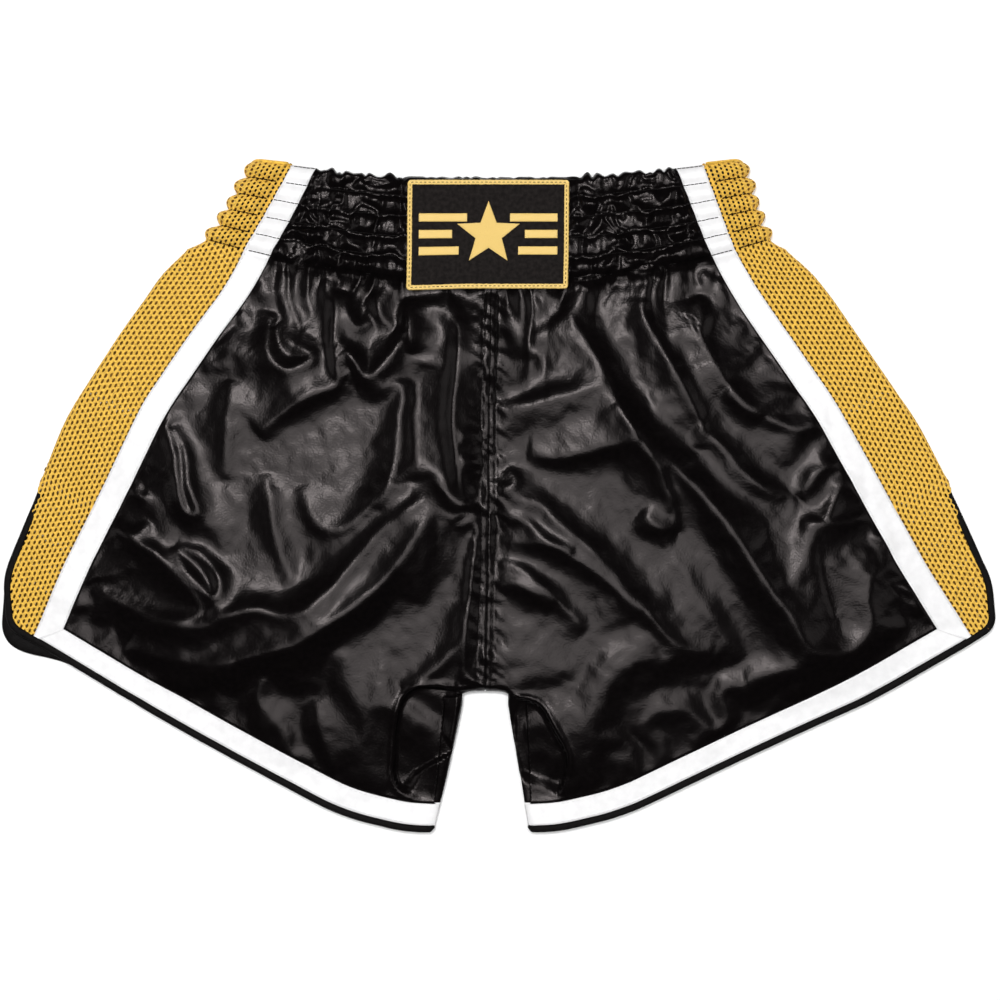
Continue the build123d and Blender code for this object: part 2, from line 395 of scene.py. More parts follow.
# Folds of the front satin: height, how quickly it falls away to its left and its right (seen along
# its run), and the lain points that it runs through.
FOLDS = [
    (4, 7, 16, [(38, 111), (58, 81), (71, 52), (84, 32), (100, 0), (105, -21)]),  # right long edge
    (2, 6, 8, [(105, -21), (95, -19), (83, -10)]),  # right long edge hook
    # right great fold
    (6, 14, 14, [
        (71, 58), (89, 34), (107, 15), (131, -12), (159, -52), (183, -88), (197, -94), (210, -93),
        (222, -79), (220, -58), (225, -45), (239, -40),
    ]),
    (3.6, 6, 12, [(85, 118), (86, 107), (100, 81), (110, 63), (119, 44), (119, 29)]),  # right gather a
    (2.6, 6, 12, [(113, 118), (116, 101), (137, 65), (157, 48)]),  # right gather b
    (2, 5, 7, [(118, 120), (121, 104), (116, 100)]),  # right gather c
    (3, 7, 10, [(119, 44), (133, 28), (145, 15), (162, 3), (178, 0)]),  # right vee left
    (2.6, 7, 7, [(178, 0), (190, 14), (203, 22)]),  # right vee right
    (2.6, 10, 6, [(134, 63), (146, 53), (160, 47), (176, 41), (197, 43)]),  # right arc
    (2.2, 5, 6, [(207, 16), (200, -2), (194, -14)]),  # right tuck a
    (2.4, 5, 6, [(179, -16), (195, -16), (207, -15), (221, -10)]),  # right tuck b
    (1.4, 4, 4, [(214, 14), (210, 5), (217, -2)]),  # right tuck c
    (1.4, 4, 4, [(221, -24), (230, -26), (237, -32)]),  # right tuck d
    (1.4, 4, 4, [(242, -50), (247, -62), (251, -72)]),  # right tuck e
    (2.8, 16, 5, [(16, 25), (38, 23), (67, 30), (83, 34)]),  # middle shelf
    (1.6, 5, 9, [(-1, 52), (24, 57), (63, 68)]),  # middle shelf top
    (2.6, 8, 7, [(-1, 0), (22, -5), (35, -17), (58, -36), (87, -69), (104, -88), (127, -93)]),  # seam fan a
    (2.2, 5, 7, [(-1, -12), (12, -14), (28, -27), (44, -33)]),  # seam fan b
    (2.2, 5, 7, [(-1, -26), (19, -28), (40, -35), (65, -53), (83, -71)]),  # seam fan c
    (2.4, 5, 8, [(-1, -41), (12, -44), (33, -62), (50, -81)]),  # seam fan d
    (2.2, 5, 6, [(-1, -50), (12, -54), (31, -66)]),  # seam fan e
    (1.8, 4, 5, [(3, 16), (9, 10), (5, 5), (-1, 6)]),  # seam loop
    (1.8, 12, 12, [(83, -11), (113, -50), (131, -80), (143, -98)]),  # right low a
    (1.8, 9, 9, [(146, -110), (164, -105), (181, -107), (173, -122)]),  # right low b
    (1.8, 10, 10, [(83, -146), (92, -131), (113, -129), (131, -146)]),  # right low c
    (4.4, 10, 6, [(-25, 107), (-26, 82), (-29, 52), (-28, 32), (-25, 9), (-20, -4)]),  # left seam edge
    (1.6, 4, 4, [(-31, -16), (-23, -10), (-16, -12), (-21, -16), (-29, -18)]),  # left seam leaf
    (1.6, 4, 5, [(-25, 21), (-19, 20), (-11, 21)]),  # left seam tuck a
    (1.4, 4, 5, [(-25, 34), (-19, 36), (-11, 35)]),  # left seam tuck b
    (3.6, 9, 4, [(-56, 118), (-55, 103), (-53, 86)]),  # left gather a
    (3.4, 8, 4, [(-99, 123), (-100, 92), (-98, 75), (-93, 70)]),  # left gather b
    (2, 5, 5, [(-93, 70), (-87, 78), (-93, 88), (-99, 90)]),  # left gather loop
    (2.4, 6, 6, [(-93, 88), (-86, 79), (-81, 72), (-74, 75), (-64, 87), (-57, 100)]),  # left gather u
    (2, 5, 5, [(-91, 122), (-91, 110), (-86, 102), (-77, 105)]),  # left gather c
    (2, 5, 5, [(-75, 122), (-72, 108), (-64, 101)]),  # left gather d
    # left crumple
    (2.4, 6, 6, [
        (-138, 111), (-140, 92), (-136, 80), (-126, 76), (-113, 84), (-126, 92), (-134, 103),
    ]),
    (3.2, 12, 7, [(-146, 38), (-126, 54), (-108, 63), (-89, 69)]),  # left facet
    (-2.6, 9, 9, [(-46, 79), (-51, 58), (-52, 34), (-49, 10)]),  # left dark band
    (2.2, 12, 8, [(-58, 70), (-61, 40), (-64, 16), (-73, -8)]),  # left mid vertical
    # left upper sweep
    (4.6, 11, 10, [
        (-37, 4), (-57, -9), (-76, -24), (-87, -37), (-106, -58), (-125, -70), (-151, -68), (-170, -73),
        (-184, -78), (-208, -78), (-230, -80),
    ]),
    # left lower sweep
    (5, 11, 12, [
        (-34, 2), (-49, -20), (-65, -45), (-83, -62), (-103, -76), (-121, -88), (-142, -94), (-170, -100),
        (-191, -99), (-208, -96), (-223, -87),
    ]),
    (2, 5, 6, [(-158, -103), (-184, -111), (-195, -111), (-201, -105)]),  # left hem tuck
    (2.8, 6, 8, [(-233, -18), (-220, -27), (-206, -35), (-189, -54), (-178, -69)]),  # left vee upper
    (2.2, 7, 6, [(-244, -54), (-227, -65), (-199, -74), (-178, -70)]),  # left vee lower
    (2.4, 5, 5, [(-197, -30), (-185, -48), (-172, -60), (-169, -48), (-180, -35), (-195, -30)]),  # left leaf
    # left hook
    (2.6, 5, 5, [
        (-200, 44), (-195, 21), (-193, 0), (-189, -9), (-182, -9), (-187, 8), (-189, 27), (-197, 42),
    ]),
    (1.6, 4, 5, [(-231, -16), (-220, -22), (-210, -16)]),  # left ribbon tuck a
    (1.4, 4, 4, [(-224, 6), (-215, -1), (-211, 3)]),  # left ribbon tuck b
    (2, 7, 7, [(-140, 14), (-136, -20), (-125, -52)]),  # left facet low
    (2.2, 9, 7, [(-121, 6), (-110, -16), (-94, -18), (-76, -2), (-65, 11)]),  # left facet tri
    (2, 9, 9, [(-161, 70), (-165, 40), (-164, 10)]),  # left side band
    (2, 9, 7, [(-112, -122), (-107, -146), (-98, -165)]),  # left low a
    (1.8, 12, 12, [(-43, -14), (-46, -38), (-55, -62)]),  # left low b
    (2.2, 6, 8, [(-25, -62), (-26, -86), (-37, -101), (-58, -116)]),  # left low c
    (1.6, 10, 10, [(-151, -116), (-133, -140), (-121, -164)]),  # left low d
    (2, 4, 3, [(-14, -14), (-19, -62), (-23, -108)]),  # seam left low
]
# The loose front cloth stands over the inner legs and drops to them along these two lines.
LEDGES = [
    (-1, [
        (-21, -116), (-37, -114), (-50, -114), (-58, -120), (-62, -130), (-64, -147), (-65, -166),
        (-61, -176), (-52, -181),
    ]),
    (1, [(4, -118), (14, -121), (24, -126), (32, -139), (40, -155), (39, -168), (35, -181)]),
]
# Radius of a fold's crest.
CREST = 0.9
# A fold's height fades out past this many of its widths.
FOLD_REACH = 3.2


def add_fold(raster, height, left, right, points):
    """Raises one fold out of a height field."""
    line = smooth_line(points, 12 + 4 * len(points))
    margin = FOLD_REACH * max(left, right)
    low, high = line.min(0) - margin, line.max(0) + margin
    i0, i1 = np.searchsorted(raster.x[0], [low[0], high[0]])
    j0, j1 = np.searchsorted(raster.y[:, 0], [low[1], high[1]])
    x, y = raster.x[j0:j1, i0:i1], raster.y[j0:j1, i0:i1]
    distance, share, side = line_distance(x, y, line)
    width = np.where(side > 0, left, right) * (0.75 + 0.25 * np.sin(np.pi * share))
    crest = np.hypot(distance, CREST) - CREST
    taper = np.clip(np.sin(np.pi * share), 0, 1) ** 0.55
    raster.z[j0:j1, i0:i1] += height * taper * hump(crest, width, 1.35)


PLAN_LOW, PLAN_HIGH = (-312.0, -213.0), (312.0, 213.0)
# How far in from the leg openings the cloth rises to its full height, and its small folds begin.
RISE_WIDTH = 85
CALM_WIDTH = 26


def front_rasters():
    """Heights of the front layer over the lain plan, without its folds and with them."""
    flat, folded = Raster(PLAN_LOW, PLAN_HIGH), Raster(PLAN_LOW, PLAN_HIGH)
    x, y = flat.x, flat.y
    nearest = np.full(x.shape, 1e9)
    for _, sign in SIDES:
        line = LEG_EDGE[::3] * [sign, 1]
        line = np.column_stack(lain(line[:, 0], line[:, 1]))
        nearest = np.minimum(nearest, line_distance(x, y, line)[0])
    flat.z = HEM_LOFT + (BODY_LOFT - HEM_LOFT) * smoothstep((nearest - 8) / RISE_WIDTH)
    folded.z = flat.z.copy()
    for fold in FOLDS:
        add_fold(folded, *fold)
    folded.z += smoothstep(nearest / CALM_WIDTH) * rough(x, y, (0.9, 38, 3), (0.45, 17, 4), (0.2, 8, 5))
    mean_lean = 7.0
    share = band_share(x + mean_lean, y)
    folded.z += (BAND_LOFT - folded.z) * smoothstep((1.12 - share) / 0.18)
    return flat, folded


FLAT, FRONT = front_rasters()
# The front satin is a cloth simulation. It starts as the folds above, a little larger than its place,
# held at its sewn edges, and it settles under its own weight on the layers below.
SETTLE_X, SETTLE_Y = (-292.0, 292.0), (-207.0, 173.0)
SETTLE_STEP = 2.4
SETTLE_FRAMES = 14
SETTLE_GROWTH = 0.004
# The layers below lie this far under the front's unfolded height.
UNDER_DROP = 3.0


def gap_distance(x, y):
    """Distance from the inner legs' folded edge, for rest plan points."""
    side = (np.abs(x) - gap_edge(np.minimum(y, CROTCH_Y))) * 0.98
    above = np.maximum(y - CROTCH_Y, 0)
    return np.where(above > 0, np.hypot(above, np.maximum(side, 0)), side)


def in_satin(x, y):
    """Whether lain plan points are on the loose front satin, below the waistband and inside the ribbons."""
    rest = unlain(x, y)
    inside = (np.abs(rest) < seam_inner(y)) & (y > hem_inner(np.clip(np.abs(rest), 30, 262)))
    return inside & (band_share(rest, y) > 1.0) & (gap_distance(rest, y) > 4.0)


def eroded(mask):
    """The mask without its border cells."""
    inner = mask.copy()
    inner[1:] &= mask[:-1]
    inner[:-1] &= mask[1:]
    inner[:, 1:] &= mask[:, :-1]
    inner[:, :-1] &= mask[:, 1:]
    return inner


def settle(raster):
    """Runs the cloth simulation of the front satin and adds its result to the height field."""
    xs, ys = np.arange(*SETTLE_X, SETTLE_STEP), np.arange(*SETTLE_Y, SETTLE_STEP)
    x, y = np.meshgrid(xs, ys)
    mask = in_satin(x, y)
    held = mask & ~eroded(mask)
    index = -np.ones(x.shape, int)
    index[mask] = np.arange(mask.sum())
    quads = grid_faces(index, flip=True)
    quads = quads[(quads >= 0).all(1)]
    points = np.column_stack([x[mask], y[mask], raster.read(x, y)[mask]])
    cloth = add_object("settling_satin", points, quads)
    pins = cloth.vertex_groups.new(name="sewn")
    pins.add(np.flatnonzero(held[mask]).tolist(), 1.0, "REPLACE")
    floor_points = np.column_stack([x.ravel(), y.ravel(), (FLAT.read(x, y) - UNDER_DROP).ravel()])
    under = add_object("settling_under", floor_points, grid_faces(numbered(*x.shape), flip=True))
    under.modifiers.new("stop", "COLLISION")
    under.collision.thickness_outer = 0.5 * MM
    under.collision.cloth_friction = 12
    cloth_settings(cloth.modifiers.new("settle", "CLOTH"))
    moved = simulated(cloth)
    area = (raster.x > xs[1]) & (raster.x < xs[-2]) & (raster.y > ys[1]) & (raster.y < ys[-2])
    for column, field in enumerate(("slip_x", "slip_y", "z")):
        change = Raster((xs[0], ys[0]), (xs[-1] + 1, ys[-1] + 1), SETTLE_STEP)
        change.z[mask] = moved[:, column] - points[:, column]
        getattr(raster, field)[area] += change.read(raster.x[area], raster.y[area])
    bpy.data.objects.remove(cloth)
    bpy.data.objects.remove(under)


def simulated(cloth):
    """Steps the scene through the settling and gives where the cloth's points end, in millimetres."""
    scene = bpy.context.scene
    for step in range(1, SETTLE_FRAMES + 1):
        scene.frame_set(step)
    mesh = cloth.evaluated_get(bpy.context.evaluated_depsgraph_get()).to_mesh()
    moved = np.zeros(len(mesh.vertices) * 3)
    mesh.vertices.foreach_get("co", moved)
    scene.frame_set(1)
    return moved.reshape(-1, 3) / MM


def cloth_settings(modifier):
    """A light, fairly stiff satin that is pinned where it is sewn."""
    values = {
        "quality": 6,
        "mass": 0.0009,
        "tension_stiffness": 25,
        "compression_stiffness": 25,
        "shear_stiffness": 6,
        "bending_stiffness": 60,
        "tension_damping": 8,
        "compression_damping": 8,
        "shear_damping": 6,
        "bending_damping": 0.5,
        "air_damping": 2,
        "vertex_group_mass": "sewn",
        "shrink_min": -SETTLE_GROWTH,
    }
    for key, value in values.items():
        setattr(modifier.settings, key, value)
    modifier.collision_settings.use_self_collision = False
    modifier.collision_settings.distance_min = 0.001
    modifier.collision_settings.collision_quality = 3


def rounded_off(z, distance, reach, middle):
    """Lets a height fall to the middle of a folded edge, in a quarter round of that reach."""
    inward = np.clip(1 - distance / reach, 0, 1)
    return middle + (z - middle) * np.sqrt(np.clip(1 - inward**2, 0, 1))


# The distance over which the gathers below the waistband fade.
GATHER_FADE = 30.0


def ruching(x, y):
    """Puffs and puckers of the elastic waistband, and the gathers that run down from it."""
    share, inside = channels(x, y)
    row = np.round(share)
    wander = 0.2 * noise(x / 8.5, row * 2.3, 19) + 0.05 * noise(x / 3.4, row * 3.1, 18)
    share = share + np.where(inside, wander, 0)
    channel = np.floor(share)
    puff = channel_puff(share, 0.55)
    sway = 3.4 * noise(x / 9, share * 1.4, 20) + 1.6 * noise(x / 4, share * 3.0, 21)
    wide = billow((x + sway) / 7.2, share * 0.9, 22)
    fine = billow((x + 0.6 * sway) / 2.0, channel * 3.1 + np.round(share - channel) * 1.7, 23)
    swell = noise(x / 10, share * 0.9, 24)
    cross = billow(x / 3.6, share * 3.1, 25)
    band = PUFF * puff * (1 + 0.6 * swell) + PUCKER * (0.35 + 0.65 * puff) * wide
    band = band + 0.4 * (1 - puff) * fine + 0.2 * cross * puff - 0.5 * (1 - puff) ** 2
    return np.where(inside, band, np.where(share >= CHANNELS, gathers(x, y), 0))


def gathers(x, y):
    """The gathers just below the waistband, which fade out as they run down."""
    below = (low_y(x) - y) / GATHER_FADE
    long = billow((x + 5 * noise(x / 26, below * 1.5, 26)) / 9.5, below * 0.55, 27)
    small = billow((x + 1.5 * noise(x / 7, below * 4, 28)) / 3.2, below * 1.5, 29)
    length = fade(below, 1.6) * (1 + 0.7 * noise(x / 19, 0, 30))
    return 1.25 * length * long + 0.8 * fade(below, 6) * small - 1.2 * fade(below, 14)


def scallop(x, y):
    """How far the waistband's folded edge stands out past its line between puckers."""
    share = np.clip(band_share(x, y) * CHANNELS, 0, 1)
    wave = billow((x + 1.5 * noise(x / 8, 0, 38)) / 5.2, 0.3, 39)
    free = 0.25 + 0.75 * smoothstep((np.abs(x - PATCH_MIDDLE[0]) - PATCH_SIZE[0] / 2) / 5)
    in_satin_part = smoothstep((seam_inner(y) - np.abs(x)) / 4)
    return (2.0 * wave + 0.4) * free * (1 - share) ** 1.5 * in_satin_part


def at_left_corner(x, y, width):
    """1 at the left leg's outer corner, falling away over a width."""
    return hump(np.hypot(x + CORNER_OUT[0] + 8, y - CORNER_OUT[1]), width)


def back_slip(x, y):
    """How far the back layer lies off its place: it shows above the patch and at the left leg's corner."""
    band = 1.7 * hump(x + 8, 45, 4) * smoothstep(1.2 - band_share(x, y))
    corner = at_left_corner(x, y, 24)
    return -2.0 * corner, band - 6.0 * corner


def seam_puckers(x, y):
    """The centre seam's folded strip, with small tucks across it and beside it."""
    beside = np.abs(x) - SEAM_WIDTH / 2
    strip = smoothstep(0.5 - beside / 1.2)
    close = hump(np.maximum(beside, 0), 7.0)
    tucks = noise(y / 2.8 + 0.25 * x, x / 9.0, 31) + 0.6 * noise(y / 1.6, x / 5.0, 32)
    below_band = smoothstep((low_y(x) - y) / 12)
    return (0.5 * strip + 0.55 * close * tucks - 0.35 * hump(beside, 0.8)) * below_band


# Lain lines of the two creases left by folding.
CREASES = [
    [(-2, 52), (24, 58), (62, 68), (83, 69), (102, 76), (124, 81), (155, 90)],
    [(-140, 112), (-122, 102), (-100, 90), (-65, 89), (-52, 84), (-27, 85)],
]


def ledge_drop(across, up):
    """Change of height where the loose front cloth ends over the inner legs: a rolled crest, then a drop."""
    change = np.zeros(np.shape(across))
    for sign, points in LEDGES:
        line = smooth_line(points)
        low, high = line.min(0), line.max(0)
        area = (across > low[0] - 30) & (across < high[0] + 30) & (up < high[1] + 20)
        distance, share, side = line_distance(across[area], up[area], line)
        inside = np.where(side == -sign, distance, -distance)
        ends = np.clip(np.sin(np.pi * np.clip(share, 0.02, 0.98)) * 3, 0, 1)
        near = smoothstep((60 - distance) / 20)
        drop = LEDGE_DROP * ends * near * smoothstep((inside + 0.2) / 2.0)
        crest = 1.2 * ends * hump(np.minimum(inside, 0), 2.6) * hump(np.maximum(inside, 0), 1.0)
        change[area] += crest - drop
    return change


def storage_crease(across, up):
    """The faint creases left where the shorts were folded, at lain plan points."""
    depth = np.zeros(np.shape(across))
    for points in CREASES:
        line = smooth_line(points)
        near = np.abs(up - np.interp(across, line[:, 0], line[:, 1]))
        inside = (across > line[0, 0]) & (across < line[-1, 0])
        uneven = 0.6 + 0.4 * noise(across / 14, 0, 33)
        depth = depth + np.where(inside, 0.32 * hump(near, 0.9, 1.5) * uneven, 0)
    return -depth


def edge_puckers(x, y):
    """Small tucks of the satin where it is sewn to the side ribbon."""
    inward = np.maximum(seam_inner(y) - np.abs(x), 0)
    below_band = smoothstep((low_y(x) - y) / 20)
    return 0.7 * fade(inward, 1 / 7) * noise(y / 5.5, np.sign(x) * 3 + inward / 14, 41) * below_band


def ribbon_puffs(x, y):
    """The ribbon's soft rise between the waistband's stitch rows."""
    share, inside = channels(x, y)
    return np.where(inside, 1.5 * channel_puff(share, 1.3) - 0.6, 0) + 0.25 * noise(x / 6, y / 6, 51)


# How far a layer turns down at the waistband's folded top edge.
WAIST_ROUND = 3.2


def folded_over(z, x, y, down):
    """Rounds a layer off at the waistband's folded top edge, down or up, and at the inner leg's fold."""
    z = rounded_off(z, top_y(x) - y + 0.3, 2.6, z - down)
    return rounded_off(z, gap_distance(x, y) + 0.2, INNER_LEG_ROUND, FOLD_MID)


def ribbon_height(x, y):
    """Height of the front cloth under the ribbons, at rest plan points."""
    return folded_over(FRONT.read(*lain(x, y)) + ribbon_puffs(x, y), x, y, WAIST_ROUND)


def free_height(x, y):
    """Height of the front satin away from the ribbons, at rest plan points."""
    across, up = lain(x, y)
    z = FRONT.read(across, up) + ruching(x, y) + seam_puckers(x, y) + edge_puckers(x, y)
    z = z + storage_crease(across, up) + ledge_drop(across, up)
    z = np.where(under_patch(x, y), np.minimum(z, PATCH_BASE - 1.3), z)
    return folded_over(z, x, y, WAIST_ROUND)


def satin_height(x, y):
    """Front satin: its own folds, calmed to the ribbon's height where it goes under the ribbon."""
    free, held = free_height(x, y), ribbon_height(x, y)
    inward = np.minimum(seam_inner(y) - np.abs(x), y - hem_inner(np.abs(x)))
    return held + (free - held) * smoothstep((inward + 0.5) / 5)


def under_patch(x, y):
    """Whether rest plan points are covered by the patch."""
    u, v = np.abs(x - PATCH_MIDDLE[0] - PATCH_SLIP), np.abs(y - PATCH_MIDDLE[1])
    return (u < PATCH_SIZE[0] / 2 - 1) & (v < PATCH_SIZE[1] / 2 - 1)


def back_height(x, y):
    """Height of the back cloth's lower face, which lies almost flat on the floor."""
    z = BACK_LOFT + rough(x, y, (0.5, 34, 61), (0.3, 15, 62))
    share, inside = channels(x, y)
    channel = np.floor(share)
    puff = channel_puff(share, 0.6)
    folds = noise(x / 3.3, channel * 5.1, 63) + 0.5 * noise(x / 1.9, channel * 3.3, 64)
    band = (1 - puff) + 0.5 * folds * (0.4 + 0.6 * puff)
    below = (low_y(x) - y) / GATHER_FADE
    gather = 0.5 * fade(below, 1.5) * (1 + noise(x / 7, below, 65))
    z = z + np.where(inside, band, np.where(share >= CHANNELS, gather, 0))
    return folded_over(np.maximum(z, 0.75), x, y, -WAIST_ROUND)


# ---------------------------------------------------------------- meshes
def add_object(name, points, faces, uvs=None):
    """A smooth mesh object from points in millimetres, faces, and cloth positions in millimetres."""
    mesh = bpy.data.meshes.new(name)
    faces = faces.tolist() if isinstance(faces, np.ndarray) else faces
    mesh.from_pydata((np.asarray(points) * MM).tolist(), [], faces)
    mesh.polygons.foreach_set("use_smooth", np.ones(len(mesh.polygons), bool))
    if uvs is not None:
        layer = mesh.uv_layers.new(name="cloth")
        index = np.zeros(len(mesh.loops), np.int32)
        mesh.loops.foreach_get("vertex_index", index)
        layer.data.foreach_set("uv", (np.asarray(uvs)[index] * MM).ravel())
    mesh.update()
    return linked(name, mesh)


def linked(name, data):
    """An object for some data, in the scene."""
    obj = bpy.data.objects.new(name, data)
    bpy.context.scene.collection.objects.link(obj)
    return obj


def numbered(rows, columns):
    """A grid of point numbers, row by row."""
    return np.arange(rows * columns).reshape(rows, columns)


def around(index):
    """A grid of point numbers with its first column again at its end, to close it into a ring."""
    return np.hstack([index, index[:, :1]])


def grid_faces(index, flip=False):
    """Four-sided faces between the rows and columns of a grid of point numbers."""
    a, b, c, d = index[:-1, :-1], index[:-1, 1:], index[1:, 1:], index[1:, :-1]
    order = (a, b, c, d) if flip else (a, d, c, b)
    return np.stack([o.ravel() for o in order], axis=1)


def thicken(obj, thickness):
    """Gives a sheet its thickness, on its inner side."""
    solid = obj.modifiers.new("thickness", "SOLIDIFY")
    solid.thickness = thickness * MM
    solid.offset = -1
    return solid


def patch(left, right, top, bottom):
    """Plan grid between four border lines (a Coons patch): two run down, and two run across."""
    v = np.linspace(0, 1, len(left))[:, None, None]
    u = np.linspace(0, 1, len(top))[None, :, None]
    left, right = left[:, None, :], right[:, None, :]
    top, bottom = top[None], bottom[None]
    corners = (1 - u) * (1 - v) * top[:, :1] + u * (1 - v) * top[:, -1:]
    corners = corners + (1 - u) * v * bottom[:, :1] + u * v * bottom[:, -1:]
    return (1 - u) * left + u * right + (1 - v) * top + v * bottom - corners


def sheet_object(name, plan, height, sign, thickness, flip, lift):
    """A sheet over a plan grid (right half, mirrored by sign), with its thickness on the inner side."""
    x, y = plan[..., 0] * sign, plan[..., 1]
    across, up = lain(x, y)
    slip_x, slip_y = np.zeros(x.shape), np.zeros(x.shape)
    if height is satin_height:
        slip_x, slip_y = FRONT.read(across, up, "slip_x"), FRONT.read(across, up, "slip_y")
    if height is back_height:
        slip_x, slip_y = back_slip(x, y)
    if height in (satin_height, back_height):
        up = up + scallop(x, y)
    points = np.stack([across + slip_x, up + slip_y, height(x, y) + lift], axis=-1)
    uvs = np.stack([x, y], axis=-1)
    faces = grid_faces(numbered(*x.shape), flip != (sign < 0))
    obj = add_object(name, points.reshape(-1, 3), faces, uvs.reshape(-1, 2))
    thicken(obj, thickness)
    return obj


# Rows of a long sheet's grid in the waistband and below it, and how finely each piece is divided.
BAND_ROWS = 56
BODY_ROWS = 175
COLUMNS = 165
HEM_COLUMNS = 190
SIDE_RIBBON_COLUMNS = 13
HEM_RIBBON_ROWS = 11
LEG_STRIP_COLUMNS = 12


def inseam_inset(y):
    """Distance from the inner leg's fold to the inner leg seam."""
    return INSEAM_INSET + INSEAM_SLOPE * (np.asarray(y) - INSEAM_MIDDLE)


def long_border(edge, above, low):
    """A panel's or ribbon's long border: rows at even shares of the waistband, then even steps below it."""
    ys = np.linspace(above, 60, 400)
    xs = edge(ys)
    t, shares = np.linspace(0, 1, BAND_ROWS), band_share(xs, ys)
    band = np.column_stack([np.interp(t, shares, xs), np.interp(t, shares, ys)])
    ys = np.linspace(band[-1, 1], low, 200)
    return np.vstack([band, along(np.column_stack([edge(ys), ys]), BODY_ROWS)[1:]])


def between(first, last, steps):
    """Lines that lead evenly from a first line to a last one."""
    u = np.linspace(0, 1, steps)[:, None, None]
    return first[None] * (1 - u) + last[None] * u


def satin_plan(inset):
    """Plan grid of one satin panel of the right half, from the centre seam to the side ribbon.

    On the inner leg it stops at `inset`, a function of y, from the fold.
    """
    band_ys = TOP_MIDDLE + (LOW_MIDDLE - TOP_MIDDLE) * np.linspace(0, 1, BAND_ROWS)
    gap_top = CROTCH_Y + 0.2
    ys = np.linspace(gap_top - 0.5, FOOT_Y - 1.0, 60)
    gap = np.column_stack([leg_fold(ys) + 0.2 + inset(ys), ys])
    rest = np.vstack([[0, LOW_MIDDLE], [0, gap_top], [float(leg_fold(CROTCH_Y)), gap_top], gap])
    left = np.vstack([np.column_stack([np.zeros(BAND_ROWS), band_ys]), along(rest, BODY_ROWS)[1:]])
    # The two panels meet a little past the middle, inside the centre seam.
    left[:, 0] = np.where(left[:, 0] == 0, -0.2, left[:, 0])
    right = long_border(seam_inner, 200, CORNER_IN[1])
    top_x = np.linspace(0, right[0, 0], COLUMNS)
    top = np.column_stack([top_x, top_y(top_x)])
    xs = np.linspace(gap[-1, 0], CORNER_IN[0], 200)
    bottom = along(np.column_stack([xs, hem_inner(xs)]), COLUMNS)
    bottom[0], bottom[-1] = left[-1], right[-1]
    return patch(left, right, top, bottom)


# Where the hem ribbon's outer edge ends, at its mitre with the side ribbon.
MITRE_X = 278.0


def side_ribbon_plan():
    """Plan grid of one side ribbon. Its foot lies under the hem ribbon."""
    inner = long_border(seam_inner, 202, CORNER_IN[1] - 1.5)
    outer = long_border(seam_outer, 202, float(hem_outer(MITRE_X)) - 1.5)
    return between(inner, outer, SIDE_RIBBON_COLUMNS).transpose(1, 0, 2)


def hem_ribbon_plan():
    """Plan grid of one hem ribbon, from the inner leg to the mitre."""
    lines = []
    for edge, start, end in ((hem_inner, -184.0, CORNER_IN[0]), (hem_outer, -198.0, MITRE_X)):
        xs = np.linspace(float(gap_edge(start)), end, 300)
        lines.append(along(np.column_stack([xs, edge(xs)]), HEM_COLUMNS))
    return between(*lines, HEM_RIBBON_ROWS)


def leg_strip_plan(top, low):
    """Plan grid of the strip of back cloth that comes round the inner leg's fold to the inner leg seam."""
    rows = max(12, int(abs(top - low) / 1.5))
    ys = np.linspace(top, low, rows)[:, None]
    inset = np.linspace(1, 0, LEG_STRIP_COLUMNS) * (inseam_inset(ys) + 0.8) + 0.05
    x = leg_fold(ys) + inset
    return np.stack([x, np.broadcast_to(ys, x.shape)], -1)


PIECES = {}


def finish_piece(obj, slot, material, *nodes):
    """Gives a piece its material and body. The CAD nodes it stands for are hidden."""
    PIECES[obj.name.split(".")[0]] = obj
    obj.data.materials.append(material)
    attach(obj, "root")
    if nodes:
        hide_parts(*nodes)
    return obj


# ---------------------------------------------------------------- materials
# One period of the wave texture, in its own units.
WAVE_PERIOD = 2 * math.pi / 20


